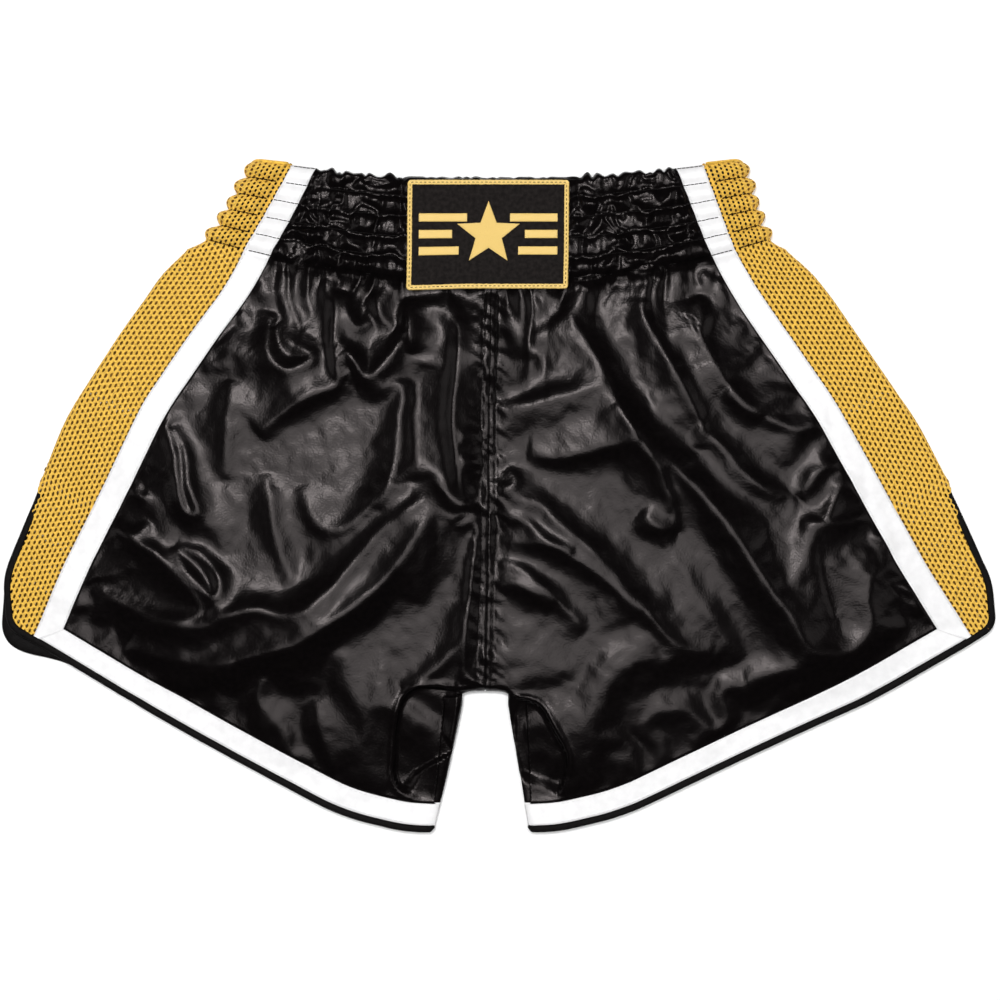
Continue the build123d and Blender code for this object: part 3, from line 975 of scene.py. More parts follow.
class Shader:
    """A node material on one Principled shader, with a few helpers for building its nodes."""

    def __init__(self, name, roughness, **values):
        self.material = bpy.data.materials.new(name)
        self.material.use_nodes = True
        self.tree = self.material.node_tree
        self.bsdf = self.tree.nodes["Principled BSDF"]
        self.set("Roughness", roughness)
        for key, value in values.items():
            self.set(key.replace("_", " "), value)
        place = self.add("ShaderNodeUVMap")
        place.uv_map = "cloth"
        self.cloth = place.outputs[0]

    def set(self, socket, value):
        self.bsdf.inputs[socket].default_value = value

    def add(self, kind, **values):
        node = self.tree.nodes.new(kind)
        for key, value in values.items():
            setattr(node, key, value)
        return node

    def link(self, source, target):
        self.tree.links.new(source, target)

    def math(self, operation, a, b=0.0, c=0.0):
        node = self.add("ShaderNodeMath", operation=operation)
        for socket, value in zip(node.inputs, (a, b, c)):
            if isinstance(value, (int, float)):
                socket.default_value = value
            else:
                self.link(value, socket)
        return node.outputs[0]

    def scaled(self, sx, sy, turn=0.0):
        """Cloth coordinates in metres, turned and then divided by a size in millimetres along each axis."""
        node = self.add("ShaderNodeMapping", vector_type="TEXTURE")
        node.inputs["Rotation"].default_value = (0, 0, turn)
        node.inputs["Scale"].default_value = (sx * MM, sy * MM, 1)
        self.link(self.cloth, node.inputs["Vector"])
        return node.outputs[0]

    def noise(self, sx, sy, detail=2.0, turn=0.0, distortion=0.0):
        node = self.add("ShaderNodeTexNoise", noise_dimensions="2D")
        node.inputs["Scale"].default_value = 1.0
        node.inputs["Detail"].default_value = detail
        node.inputs["Distortion"].default_value = distortion
        self.link(self.scaled(sx, sy, turn), node.inputs["Vector"])
        return node.outputs["Fac"]

    def threads(self, pitch, turn=0.0):
        """Parallel threads as a wave from 0 to 1, one per pitch in millimetres, along the turned x axis."""
        node = self.add("ShaderNodeTexWave", wave_type="BANDS", bands_direction="X")
        node.inputs["Scale"].default_value = 1.0
        node.inputs["Distortion"].default_value = 0.6
        node.inputs["Detail Scale"].default_value = 0.4
        self.link(self.scaled(pitch / WAVE_PERIOD, pitch * 12, turn), node.inputs["Vector"])
        return node.outputs["Fac"]

    def ramp(self, source, *stops):
        node = self.add("ShaderNodeValToRGB")
        elements = node.color_ramp.elements
        while len(elements) < len(stops):
            elements.new(0.5)
        for element, (at, colour) in zip(elements, stops):
            element.position = at
            element.color = (*colour, 1)
        self.link(source, node.inputs["Fac"])
        return node.outputs["Color"]

    def colour(self, source, *stops):
        self.link(self.ramp(source, *stops), self.bsdf.inputs["Base Color"])

    def bump(self, heights):
        """Bump from a list of (height source, distance in millimetres)."""
        last = None
        for source, distance in heights:
            node = self.add("ShaderNodeBump")
            node.inputs["Strength"].default_value = 1.0
            node.inputs["Distance"].default_value = distance * MM
            self.link(source, node.inputs["Height"])
            if last is not None:
                self.link(last, node.inputs["Normal"])
            last = node.outputs["Normal"]
        self.link(last, self.bsdf.inputs["Normal"])


def shade(colour, factor):
    """A darker or lighter colour."""
    return tuple(c * factor for c in colour)


def satin_material(name, colour, roughness, crinkle, **values):
    """Satin: a fine crepe crinkle in its bump, and a faint unevenness in its colour."""
    m = Shader(name, roughness, **values)
    m.set("Specular Tint", (1.0, 0.90, 0.89, 1))
    m.colour(m.noise(3, 3, 3), (0.3, shade(colour, 0.8)), (0.7, shade(colour, 1.2)))
    m.bump([(m.noise(4, 4, 3), crinkle), (m.noise(1.1, 1.1, 1), 0.06)])
    return m.material


def ribbon_material(name, colour):
    """White satin ribbon: fine ribs across it, with a soft unevenness."""
    m = Shader(name, 0.42, Sheen_Weight=0.15, Sheen_Roughness=0.4)
    m.colour(m.noise(5, 5, 3), (0.3, shade(colour, 0.93)), (0.7, colour))
    m.bump([(m.noise(6, 6, 3), 0.12), (m.threads(0.45), 0.02), (m.threads(0.45, math.pi / 2), 0.015)])
    return m.material


def mesh_material(name, colour):
    """Knitted air mesh: matt yarn in small loops with an uneven tone. A darker copy of it gives the painted
    shade of its holes.
    """
    m = Shader(name, 0.72, Sheen_Weight=0.35, Sheen_Roughness=0.5)
    m.set("Sheen Tint", (*shade(colour, 1.0), 1))
    m.colour(m.noise(1.6, 1.6, 4), (0.25, shade(colour, 0.72)), (0.72, shade(colour, 1.22)))
    m.bump([(m.threads(0.45, 0.6), 0.07), (m.threads(0.45, -0.6), 0.07), (m.noise(0.8, 0.8, 3), 0.08)])
    return m.material


def tape_material(name, colour, roughness=0.55):
    """Woven tape or lining: ribs both ways and a slight fade."""
    m = Shader(name, roughness, Specular_IOR_Level=0.06)
    m.colour(m.noise(2.5, 2.5, 4), (0.3, shade(colour, 0.7)), (0.7, shade(colour, 1.5)))
    m.bump([(m.threads(0.5), 0.05), (m.threads(0.5, math.pi / 2), 0.04), (m.noise(4, 4, 3), 0.2)])
    return m.material


def thread_material(name, colour, pitch=0.32, turn=0.0):
    """Embroidery or sewing thread: glossy fine parallel strands."""
    m = Shader(name, 0.42, Sheen_Weight=0.2, Sheen_Roughness=0.4)
    m.set("Sheen Tint", (*colour, 1))
    strands = m.threads(pitch, turn)
    # The colour is darker in the grooves between the strands: painted shade.
    m.colour(strands, (0.1, shade(colour, 0.7)), (0.6, colour))
    m.bump([(strands, 0.1), (m.noise(1.5, 1.5, 3), 0.06)])
    return m.material


BLACK = (0.0021, 0.0016, 0.0017)
GOLD = (0.80, 0.475, 0.06)
GOLD_THREAD = (1.0, 0.7, 0.22)
WHITE = (0.79, 0.785, 0.79)
M_SATIN = satin_material("black_satin", BLACK, 0.225, 0.05, Specular_IOR_Level=0.092)
M_RIBBON = ribbon_material("white_satin", WHITE)
M_MESH = mesh_material("gold_mesh", GOLD)
# A darker copy of the gold mesh: painted shade on the mesh's inner face and the walls of its holes, standing
# for the shadowed layer seen through them.
M_MESH_PAINTED_SHADE = mesh_material("gold_mesh_painted_shade", (0.30, 0.135, 0.012))
M_TAPE = tape_material("black_tape", (0.0035, 0.003, 0.003))
M_FACING = tape_material("black_facing", (0.012, 0.012, 0.013), 0.7)
M_ELASTIC = tape_material("elastic", (0.015, 0.015, 0.016), 0.65)
M_FELT = tape_material("patch_felt", (0.010, 0.0083, 0.0078), 0.8)
M_GOLD = thread_material("gold_thread", GOLD_THREAD)
M_GOLD_SIDE = thread_material("gold_thread_turned", GOLD_THREAD, turn=math.pi / 2)
M_BLACK_THREAD = tape_material("black_thread", (0.008, 0.007, 0.007), 0.6)
M_BROWN_THREAD = tape_material("brown_thread", (0.03, 0.012, 0.002), 0.6)
M_WHITE_THREAD = thread_material("white_thread", (0.78, 0.78, 0.78))


# ---------------------------------------------------------------- satin panels and ribbons
SIDES = (("left", -1), ("right", 1))


# Height of the front ribbons over the cloth that they are sewn to.
RIBBON_LIFT = 0.55


def cloth_piece(name, plan, height, sign, cloth, lift, *nodes):
    """A piece of one kind of cloth over a plan grid. What belongs to the back faces down."""
    thickness, slot, material, down = cloth
    finish_piece(sheet_object(name, plan, height, sign, thickness, down, lift), slot, material, *nodes)


def cloths(down):
    """The satin and the ribbon as cloth_piece takes them, facing up or down."""
    return (SATIN_THICK, "black_satin", M_SATIN, down), (RIBBON_THICK, "white_satin", M_RIBBON, down)


def panel_pieces():
    """The satin panels of front and back, and the back's strips that come round the inner legs' folds."""
    panels = (("front", inseam_inset, satin_height), ("back", np.zeros_like, back_height))
    for word, sign in SIDES:
        for layer, inset, height in panels:
            name = f"{word}_{layer}_panel"
            satin, ribbon = cloths(layer == "back")
            cloth_piece(name, satin_plan(inset), height, sign, satin, 0.0, name)
        strip = leg_strip_plan(CROTCH_Y, FOOT_Y)
        cloth_piece(f"{word}_inner_leg_facing", strip, free_height, sign, satin, 0.25)
        strip = leg_strip_plan(FOOT_Y + 0.5, SOLE_Y)
        cloth_piece(f"{word}_inner_leg_ribbon", strip, free_height, sign, ribbon, 0.7)


def ribbon_pieces():
    """The ribbons down the side seams and along the hems. Each hem ribbon laps over its side ribbon."""
    layers = (("front", ribbon_height, RIBBON_LIFT, 0.1), ("back", back_height, -0.45, -0.1))
    for word, sign in SIDES:
        for layer, height, lift, lap in layers:
            _, ribbon = cloths(layer == "back")
            for run, plan, over in (("side", side_ribbon_plan(), 0.0), ("hem", hem_ribbon_plan(), lap)):
                name = f"{word}_{layer}_{run}_ribbon"
                cloth_piece(name, plan, height, sign, ribbon, lift + over, name)


# ---------------------------------------------------------------- side mesh
# Radius of the mesh's folded side, and how far the binding laps over it.
MESH_FOLD = 4.5
BINDING_COVER = 1.3
# How steeply the cloth's rows turn at the waist, and the back layer's hole size beside the front's.
WAIST_SKEW = 0.34
BACK_HOLE = 0.5


def seam_run():
    """The side seam's line on the plan from the waist to the corner, with its outward normals and lengths."""
    ys = np.linspace(204.0, CORNER_OUT[1] - 1.2, 700)
    line = np.column_stack([seam_outer(ys), ys])
    line = along(line[band_share(line[:, 0], line[:, 1]) >= 0], 700)
    step = unit(np.gradient(line, axis=0))
    return line, np.column_stack([-step[:, 1], step[:, 0]]), lengths(line)


SEAM_LINE, SEAM_NORMAL, SEAM_LENGTH = seam_run()
# The side seam's length in the waistband.
SEAM_BAND = float(np.interp(1.0, band_share(SEAM_LINE[:, 0], SEAM_LINE[:, 1]), SEAM_LENGTH))


def reach_to(edge):
    """Distance from each point of the side seam out to an edge line, square to the seam."""
    reach = []
    for point, normal in zip(SEAM_LINE, SEAM_NORMAL):
        a, b = edge[:-1] - point, edge[1:] - point
        tangent = np.array([normal[1], -normal[0]])
        past_a, past_b = a @ tangent, b @ tangent
        hit = past_a * past_b <= 0
        share = past_a[hit] / (past_a[hit] - past_b[hit] + 1e-12)
        distance = (a[hit] + share[:, None] * (b[hit] - a[hit])) @ normal
        reach.append(distance[distance > 0].min(initial=np.inf))
    reach = np.array(reach)
    known = np.isfinite(reach)
    return np.interp(np.arange(len(reach)), np.flatnonzero(known), reach[known])


def outer_reach():
    """Distance from the side seam out to the fold, and below the slit to inside the flap's bound edge."""
    fold_ys = np.linspace(204, SLIT_Y - 40, 240)
    fold = reach_to(np.column_stack([mesh_edge(fold_ys), fold_ys]))
    edge_y = SEAM_LINE[:, 1] + SEAM_NORMAL[:, 1] * fold
    covered = BINDING_COVER * smoothstep((SLIT_Y - edge_y) / 16)
    flap = reach_to(LEG_EDGE[LEG_EDGE[:, 0] > CORNER_OUT[0] - 25][::-1]) - covered
    share = smoothstep((edge_y - SLIT_Y + 2) / 8)
    reach = np.pad(flap * (1 - share) + fold * share, 4, mode="edge")
    return np.convolve(reach, np.ones(9) / 9, mode="valid"), edge_y


SEAM_REACH, EDGE_Y = outer_reach()


def reach_at(b):
    """Distance from the side seam out to the mesh's outer edge, at distances along the seam."""
    return np.interp(b, SEAM_LENGTH, SEAM_REACH)


def edge_at(b):
    """Plan y of the mesh's outer edge, at distances along the seam."""
    return np.interp(b, SEAM_LENGTH, EDGE_Y)


def mesh_swell(x, y):
    """How far the mesh stands out between the waistband's stitch rows and just below them."""
    share, inside = channels(x, y)
    puff = channel_puff(share, 0.65)
    gather = 0.9 * noise(x / 5.5, np.floor(share) * 3.7, 71) + 0.4 * noise(x / 3, share, 72)
    band = MESH_PUFF * puff + gather * (0.3 + 0.7 * puff) - 0.9 * (1 - puff)
    below = 2.2 * np.exp(-np.abs(share - CHANNELS - 0.9) * 1.3) - 0.6
    return np.where(inside, band, np.where(share >= CHANNELS, below, 0))


def mesh_surface(a, b, sign):
    """The mesh cloth's lain points, at distances across from the front seam and along it."""
    b = skewed(a, gathered(b))
    # The layer's plan: a flat front, a round fold at the side, and a flat back. Below the slit's top
    # there is no fold, and the two layers end at their bound edges.
    normal = read_line(b, SEAM_LENGTH, SEAM_NORMAL)
    reach = reach_at(b)
    front = reach - a > 0
    depth = np.abs(reach - a)
    quarter = MESH_FOLD * math.pi / 2
    turn = np.clip(depth / MESH_FOLD, 0, math.pi / 2)
    inset = np.where(depth < quarter, MESH_FOLD * (1 - np.cos(turn)), MESH_FOLD + depth - quarter)
    folded = smoothstep((edge_at(b) - SLIT_Y) / 12)
    out = reach - (folded * inset + (1 - folded) * depth)
    x, y = (read_line(b, SEAM_LENGTH, SEAM_LINE) + normal * out[:, None]).T
    # Heights: near the ribbon the mesh is held to the ribbon's height, and goes under it.
    swell = mesh_swell(x, y)
    from_seam = np.minimum(a, 2 * reach - a)
    near_seam = smoothstep(from_seam / 6)
    under_ribbon = 1.5 * smoothstep((1.2 - from_seam) / 1.6)
    lean_x, lean_y = lain(x * sign, y)
    top = FRONT.read(lean_x, lean_y) + swell * near_seam + ribbon_puffs(x, y) * (1 - near_seam)
    in_binding = 0.5 * (1 - folded) * smoothstep((5 - depth) / 2)
    low = np.maximum(back_height(x, y) - 0.5 + under_ribbon, 0.3) + in_binding
    flat = np.where(front, top + 0.7 - under_ribbon, low)
    z = folded * (FOLD_MID + (flat - FOLD_MID) * np.sin(turn)) + (1 - folded) * flat
    # The fold bulges out between the stitch rows.
    bulge = folded * 1.3 * swell * np.cos(turn) ** 2
    slip_x, slip_y = np.where(front, 0, 0.45) * back_slip(x * sign, y)
    lean_x = lean_x + sign * normal[:, 0] * bulge + slip_x
    lean_y = lean_y + normal[:, 1] * bulge + slip_y
    return np.column_stack([lean_x, lean_y, z]), band_share(x, y)


def gathered(b):
    """Distance along the seam of mesh cloth: the waistband takes up more cloth than its own length."""
    in_band = b < SEAM_BAND * MESH_GATHER
    return np.where(in_band, b / MESH_GATHER, b - SEAM_BAND * (MESH_GATHER - 1))


def skewed(a, b):
    """Turns the cloth's rows near the waist, so that they run level with its top edge."""
    from_seam = np.maximum(np.minimum(a, 2 * reach_at(b) - a), 0)
    return b + WAIST_SKEW * from_seam * np.exp(-b / 45)


def mesh_cells():
    """Centres of the mesh's holes, in staggered columns over the whole side piece."""
    cells = []
    for column, a in enumerate(np.arange(-2.0, 2 * SEAM_REACH.max() + 5, HOLE_COLUMN)):
        start = HOLE_PITCH / 2 * (column % 2 + 0.6)
        steps = np.arange(start, SEAM_LENGTH[-1] * MESH_GATHER, HOLE_PITCH)
        cells.append(np.column_stack([np.full(len(steps), a), steps]))
    cells = np.vstack(cells)
    b = gathered(cells[:, 1])
    kept = (cells[:, 0] < 2 * reach_at(b) + 2.0) & (b < SEAM_LENGTH[-1])
    at_slit = (edge_at(b) < SLIT_Y) & (np.abs(cells[:, 0] - reach_at(b)) < HOLE_COLUMN * 0.5)
    return cells[kept & ~at_slit]


def kept_apart(points, centres):
    """Holds the flap's two layers off their open edge, and each cell's rings off the waist's edge."""
    b = gathered(centres[:, 1])
    reach = reach_at(b)[:, None, None]
    slit = (edge_at(b) < SLIT_Y)[:, None, None]
    front = centres[:, 0][:, None, None] < reach
    a = points[..., 0]
    a = np.where(slit & front, np.minimum(a, reach - 0.15), a)
    points[..., 0] = np.where(slit & ~front, np.maximum(a, reach + 0.15), a)
    points[..., 1] = np.maximum(points[..., 1], np.array([0, 0.3, 0.6])[:, None])
    return points


def mesh_piece(word, sign):
    """Air mesh with true holes: each cell is a hexagon of cloth round one hole, in staggered columns."""
    w, h = HOLE_COLUMN / 3, HOLE_PITCH / 2
    # A staggered column lattice's cell: six corners and two more points on its long sides.
    corners = np.array([(2 * w, 0), (w, h), (0, h), (-w, h), (-2 * w, 0), (-w, -h), (0, -h), (w, -h)])
    angles = np.arctan2(corners[:, 1] * HOLE_WIDE / HOLE_LONG, corners[:, 0])
    hole = np.column_stack([HOLE_WIDE * np.cos(angles), HOLE_LONG * np.sin(angles)])
    rings = np.stack([corners, 0.45 * corners + 0.55 * hole * 1.15, hole])
    cells = mesh_cells()
    a, b = cells.T
    back = a > reach_at(gathered(b))
    points = np.repeat(rings[None], len(cells), axis=0)
    points[back, 2] *= BACK_HOLE
    points += cells[:, None, None, :]
    jitter = 0.10 * np.column_stack([noise(a * 3.1, b * 2.7, 73), noise(a * 2.3, b * 3.3, 74)])
    points[:, 1:] += jitter[:, None, None, :]
    flat = kept_apart(points, cells).reshape(-1, 2)
    surface, _ = mesh_surface(flat[:, 0], flat[:, 1], sign)
    dish = np.where(back, -HOLE_DISH, HOLE_DISH)[:, None, None] * np.array([0, 0, 1.0])[:, None]
    dish = np.broadcast_to(dish, points.shape[:3])
    surface[:, 2] = np.maximum(surface[:, 2] - dish.ravel(), 0.15)
    index = np.arange(dish.size).reshape(dish.shape)
    after = np.roll(index, -1, axis=2)
    faces = [np.stack([index[:, r], after[:, r], after[:, r + 1], index[:, r + 1]], -1) for r in (0, 1)]
    faces = np.concatenate(faces).reshape(-1, 4)
    obj = add_object(f"{word}_side_mesh", surface, faces[:, ::-1] if sign > 0 else faces, flat)
    weld(obj, 0.02)
    solid = thicken(obj, MESH_THICK)
    finish_piece(obj, "gold_mesh", M_MESH, f"{word}_side_mesh")
    # The inner face and the hole walls take the darker copy: painted shade.
    obj.data.materials.append(M_MESH_PAINTED_SHADE)
    solid.material_offset = 1
    solid.material_offset_rim = 1


def mesh_top_edge(word, sign):
    """The mesh's folded top edge, from the front ribbon round the side to the back one."""
    a = np.linspace(0.0, 2 * SEAM_REACH[0], 160)
    path, _ = mesh_surface(a, np.full(len(a), 0.5), sign)
    path[:, 2] -= np.where(a < SEAM_REACH[0], 0.4, -0.4)
    step = unit(np.gradient(path, axis=0))
    across = unit(np.cross(step, [0.0, 1.0, 0.0]))
    sides = 10
    points, faces = tube(path, across, np.cross(across, step), np.full(len(path), 2.0), 2.0, sides)
    uvs = np.column_stack([np.repeat(a, sides), np.tile(np.arange(sides) * 0.5, len(a))])
    finish_piece(add_object(f"{word}_mesh_top_edge", points, faces, uvs), "gold_mesh", M_MESH)


def mesh_row(row, sign):
    """A waistband stitch row's line on the front of the mesh, from the ribbon to the fold."""
    b = np.linspace(0, 110, 200)
    reach = reach_at(gathered(b))
    line = []
    for part in np.linspace(0, 1.0, 40):
        place, share = mesh_surface(0.3 + part * (reach - 0.3), b, sign)
        line.append(read_line(row / CHANNELS, share, place))
    return np.array(line) + [0, 0, 0.5]


def weld(obj, reach):
    """Joins a mesh's points that lie within reach of each other, in millimetres."""
    work = bmesh.new()
    work.from_mesh(obj.data)
    bmesh.ops.remove_doubles(work, verts=work.verts, dist=reach * MM)
    work.to_mesh(obj.data)
    work.free()


# ---------------------------------------------------------------- leg bindings
def tube(points, across_axis, up_axis, width, height, sides, closed=False):
    """A flattened tube's points and faces along a line of points, with its two axes at each of them."""
    turn = np.linspace(0, 2 * math.pi, sides, endpoint=False)[None, :, None]
    ring = np.cos(turn) * across_axis[:, None] * width[:, None, None] / 2
    ring = ring + np.sin(turn) * up_axis[:, None] * height / 2
    index = numbered(len(points), sides)
    rows = np.vstack([index, index[:1]]) if closed else index
    return (points[:, None] + ring).reshape(-1, 3), grid_faces(around(rows), flip=True)


# Steps along one edge, and how far the binding's middle lies inside the leg opening's edge.
BINDING_STEPS = 420
BINDING_INSET = 1.8
# Distance of each edge's binding from the level where the two meet at the slit's top.
SLIT_HALF_GAP = 1.2


def binding_path(sign):
    """The binding's middle and its outward direction: along the front's edge, then back along the back's."""
    edge = along(LEG_EDGE, BINDING_STEPS)
    step = unit(np.gradient(edge, axis=0))
    inward = np.column_stack([-step[:, 1], step[:, 0]])
    middle = edge + inward * BINDING_INSET
    x, y = middle[:, 0] * sign, middle[:, 1]
    lean_x, lean_y = lain(x, y)
    front_z = ribbon_height(x, y) + 0.1
    back_z = np.maximum(back_height(x, y) + 0.3, BINDING_THICK / 2)
    # Towards the slit's top the two edges come together.
    meet = smoothstep((y - SLIT_Y + 26) / 24)
    level = 0.5 * (front_z + back_z)
    wave = 0.25 * noise(np.arange(BINDING_STEPS) / 14, 0, 81)
    front_z = front_z * (1 - meet) + (level + SLIT_HALF_GAP) * meet + wave
    back_z = back_z * (1 - meet) + (level - SLIT_HALF_GAP) * meet
    if sign < 0:
        back_z = back_z + 1.2 * at_left_corner(x, y, 30)
    slip_x, slip_y = back_slip(x, y)
    front = np.column_stack([lean_x, lean_y, front_z])
    back = np.column_stack([lean_x + slip_x, lean_y + slip_y, back_z])
    outward = np.column_stack([-inward * [sign, 1], np.zeros(BINDING_STEPS)])
    return np.vstack([front, back[::-1]]), np.vstack([outward, outward[::-1]])


def binding_pieces():
    """The folded tape round each leg opening and up both edges of its slit."""
    sides = 12
    for word, sign in SIDES:
        path, outward = binding_path(sign)
        step = unit(np.roll(path, -1, 0) - np.roll(path, 1, 0))
        up = unit(np.cross(outward, step)) * sign
        width = np.full(len(path), BINDING_WIDTH)
        if sign < 0:
            width[BINDING_STEPS:] += CORNER_SPREAD * at_left_corner(*path[BINDING_STEPS:, :2].T, 20)
        points, faces = tube(path, outward, up, width, BINDING_THICK, sides, closed=True)
        points[:, 2] = np.maximum(points[:, 2], 0.1)
        uvs = np.column_stack([np.repeat(lengths(path), sides), np.tile(np.arange(sides) * 0.8, len(path))])
        obj = add_object(f"{word}_leg_binding", points, faces, uvs)
        finish_piece(obj, "black_tape", M_TAPE, f"{word}_leg_binding")


# ---------------------------------------------------------------- waistband's inside
def band_loop(name, high, low, depth, thickness, rows, slot, material):
    """A flattened loop of band inside the waistband, between two shares of its height."""
    t = np.linspace(-1, 1, 190)
    share = np.linspace(high, low, rows)[:, None]
    x_end = np.full(share.shape, 150.0)
    for _ in range(12):
        x_end = mesh_edge(band_y(x_end, share))
    x = t * (x_end - 4.0)
    y = band_y(x, share)
    turn = np.sqrt(np.clip(1 - np.abs(t) ** 30, 0, 1))
    lean_x, lean_y = lain(x, y)
    front_z = FOLD_MID + (np.minimum(FRONT.read(lean_x, lean_y), BAND_LOFT) - depth - FOLD_MID) * turn
    back_z = np.broadcast_to(FOLD_MID + (BACK_LOFT + depth - FOLD_MID) * turn, x.shape)
    front = np.stack([lean_x, lean_y, front_z], -1)
    back = np.stack([lean_x, lean_y, back_z], -1)[:, -2:0:-1]
    loop = np.concatenate([front, back], axis=1)
    index = numbered(rows, loop.shape[1])
    down = (TOP_MIDDLE - LOW_MIDDLE) * share
    uvs = np.stack(np.broadcast_arrays(lengths(loop[0]), down), -1)
    obj = add_object(name, loop.reshape(-1, 3), grid_faces(around(index)), uvs.reshape(-1, 2))
    thicken(obj, thickness)
    finish_piece(obj, slot, material, name)


def waist_inside():
    """The waistband's facing, and one elastic in each channel."""
    band_loop("waistband_facing", 0.03, 1.0, 3.2, 0.4, 24, "black_facing", M_FACING)
    for i in range(CHANNELS):
        high, low = (i + 0.16) / CHANNELS, (i + 0.84) / CHANNELS
        band_loop(f"waist_elastic_{i + 1}", high, low, 1.9, 0.9, 4, "elastic", M_ELASTIC)


# ---------------------------------------------------------------- patch
# The border's width and height, the emblem's height over the cloth, the cloth's thickness, and the
# radius of the border's corners.
BORDER_WIDE = 3.2
BORDER_HIGH = 1.7
EMBLEM_HIGH = 0.8
PATCH_CLOTH = 1.0
BORDER_RADIUS = 0.7


def on_patch(u, v, lift):
    """Points on the patch, from its own plan (u, v) about its middle. It bows over the waistband."""
    lean_x, lean_y = lain(PATCH_MIDDLE[0] + 0.985 * u, PATCH_MIDDLE[1] + 0.985 * v)
    droop = 0.9 * smoothstep((-u - 10) / 40) * smoothstep((10 - v) / 40)
    bow = 0.5 * (v / (PATCH_SIZE[1] / 2)) ** 2 + 0.4 * (u / (PATCH_SIZE[0] / 2)) ** 2
    ripple = 0.18 * noise(u / 16, v / 13, 91)
    return np.stack([lean_x + PATCH_SLIP, lean_y - droop, PATCH_BASE - bow + ripple + lift], -1)


def patch_cloth():
    """The patch's felt."""
    rows, columns = 84, 120
    across = np.linspace(-0.5, 0.5, columns) * (PATCH_SIZE[0] - 2)
    up = np.linspace(0.5, -0.5, rows) * (PATCH_SIZE[1] - 2)
    u, v = np.meshgrid(across, up)
    points = on_patch(u, v, PATCH_CLOTH + 0.05 * noise(u / 1.2, v / 1.2, 92))
    uvs = np.stack([u, v], -1)
    faces = grid_faces(numbered(rows, columns))
    obj = add_object("patch_cloth", points.reshape(-1, 3), faces, uvs.reshape(-1, 2))
    thicken(obj, PATCH_CLOTH)
    finish_piece(obj, "patch_felt", M_FELT, "patch_cloth")


def border_line(spacing):
    """Points round the middle of the patch's border, with outward normals. Its corners are rounded."""
    inner = (PATCH_SIZE - BORDER_WIDE) / 2 - BORDER_RADIUS
    points = []
    for corner, start in (((1, 1), 0), ((-1, 1), 90), ((-1, -1), 180), ((1, -1), 270)):
        for angle in np.radians(np.linspace(start, start + 90, 9)):
            points.append(corner * inner + BORDER_RADIUS * np.array([math.cos(angle), math.sin(angle)]))
    points.append(points[0])
    line = along(points, int(lengths(points)[-1] / spacing))[:-1]
    step = unit(np.roll(line, -1, 0) - np.roll(line, 1, 0))
    return line, np.column_stack([step[:, 1], -step[:, 0]])


def patch_border():
    """Satin-stitched frame: a crowned band of side-by-side threads all round the patch."""
    thread_width = 0.24
    line, normal = border_line(thread_width)
    number = np.arange(len(line))
    thread = 0.10 * (number % 2) + 0.06 * noise(number / 3.0, 0, 93)
    arch = np.linspace(math.pi, 0, 11)
    edge = np.cos(arch) * (BORDER_WIDE / 2 + 0.12 * noise(number / 2.2, 0, 94))[:, None]
    crown = np.clip(np.sin(arch), 0, 1) ** 0.7 * (BORDER_HIGH - 0.4 + thread)[:, None] + 0.1
    u, v = line[:, :1] + normal[:, :1] * edge, line[:, 1:] + normal[:, 1:] * edge
    points = on_patch(u, v, crown - 0.3 * hump(edge, 0.35))
    index = numbered(*edge.shape)
    rows = np.vstack([index, index[:1]])
    base = np.stack([rows[:-1, 0], rows[1:, 0], rows[1:, -1], rows[:-1, -1]], -1)
    uvs = np.column_stack([np.repeat(number * thread_width, len(arch)), np.tile(arch, len(line))])
    faces = np.vstack([grid_faces(rows, flip=True), base])
    obj = add_object("patch_border", points.reshape(-1, 3), faces, uvs)
    finish_piece(obj, "gold_thread", M_GOLD, "patch_border")


def patch_stitches():
    """The line of small stitches that holds the patch, along the middle of its border."""
    line, _ = border_line(0.8)
    run = on_patch(line[:, 0], line[:, 1], BORDER_HIGH - 0.45)
    stitches("patch_stitching", [run], M_BROWN_THREAD, "gold_thread", PATCH_STITCH)


# Rings of a block of satin stitch: share of its outline, and share of its height.
EMBROIDERY_RINGS = (
    (1.0, 0.0), (1.0, 0.35), (0.97, 0.62), (0.9, 0.82), (0.75, 0.95), (0.5, 1.0), (0.2, 1.0)
)


def embroidered(name, outline, material):
    """A raised block of satin stitch inside a convex or star outline, crowned towards its middle."""
    outline = np.asarray(outline)
    middle = outline.mean(0)
    dense = along(np.vstack([outline, outline[:1]]), 20 * len(outline) + 1)[:-1]
    points, uvs = [], []
    for share, rise in EMBROIDERY_RINGS:
        uv = middle + (dense - middle) * share
        ridge = 0.05 * np.sin(uv[:, 0] * 2 * math.pi / 0.8) if rise > 0.3 else 0
        points.append(on_patch(uv[:, 0], uv[:, 1], PATCH_CLOTH + rise * EMBLEM_HIGH + ridge))
        uvs.append(uv)
    points.append(on_patch(middle[:1], middle[1:], PATCH_CLOTH + EMBLEM_HIGH))
    uvs.append(middle[None])
    index = around(numbered(len(EMBROIDERY_RINGS), len(dense)))
    tip = index[-1, -2] + 1
    tips = [[int(a), int(b), int(tip)] for a, b in zip(index[-1, :-1], index[-1, 1:])]
    underside = index[0, -2::-1].tolist()
    faces = grid_faces(index, flip=True).tolist() + tips + [underside]
    finish_piece(add_object(name, np.vstack(points), faces, np.vstack(uvs)), "gold_thread", material, name)


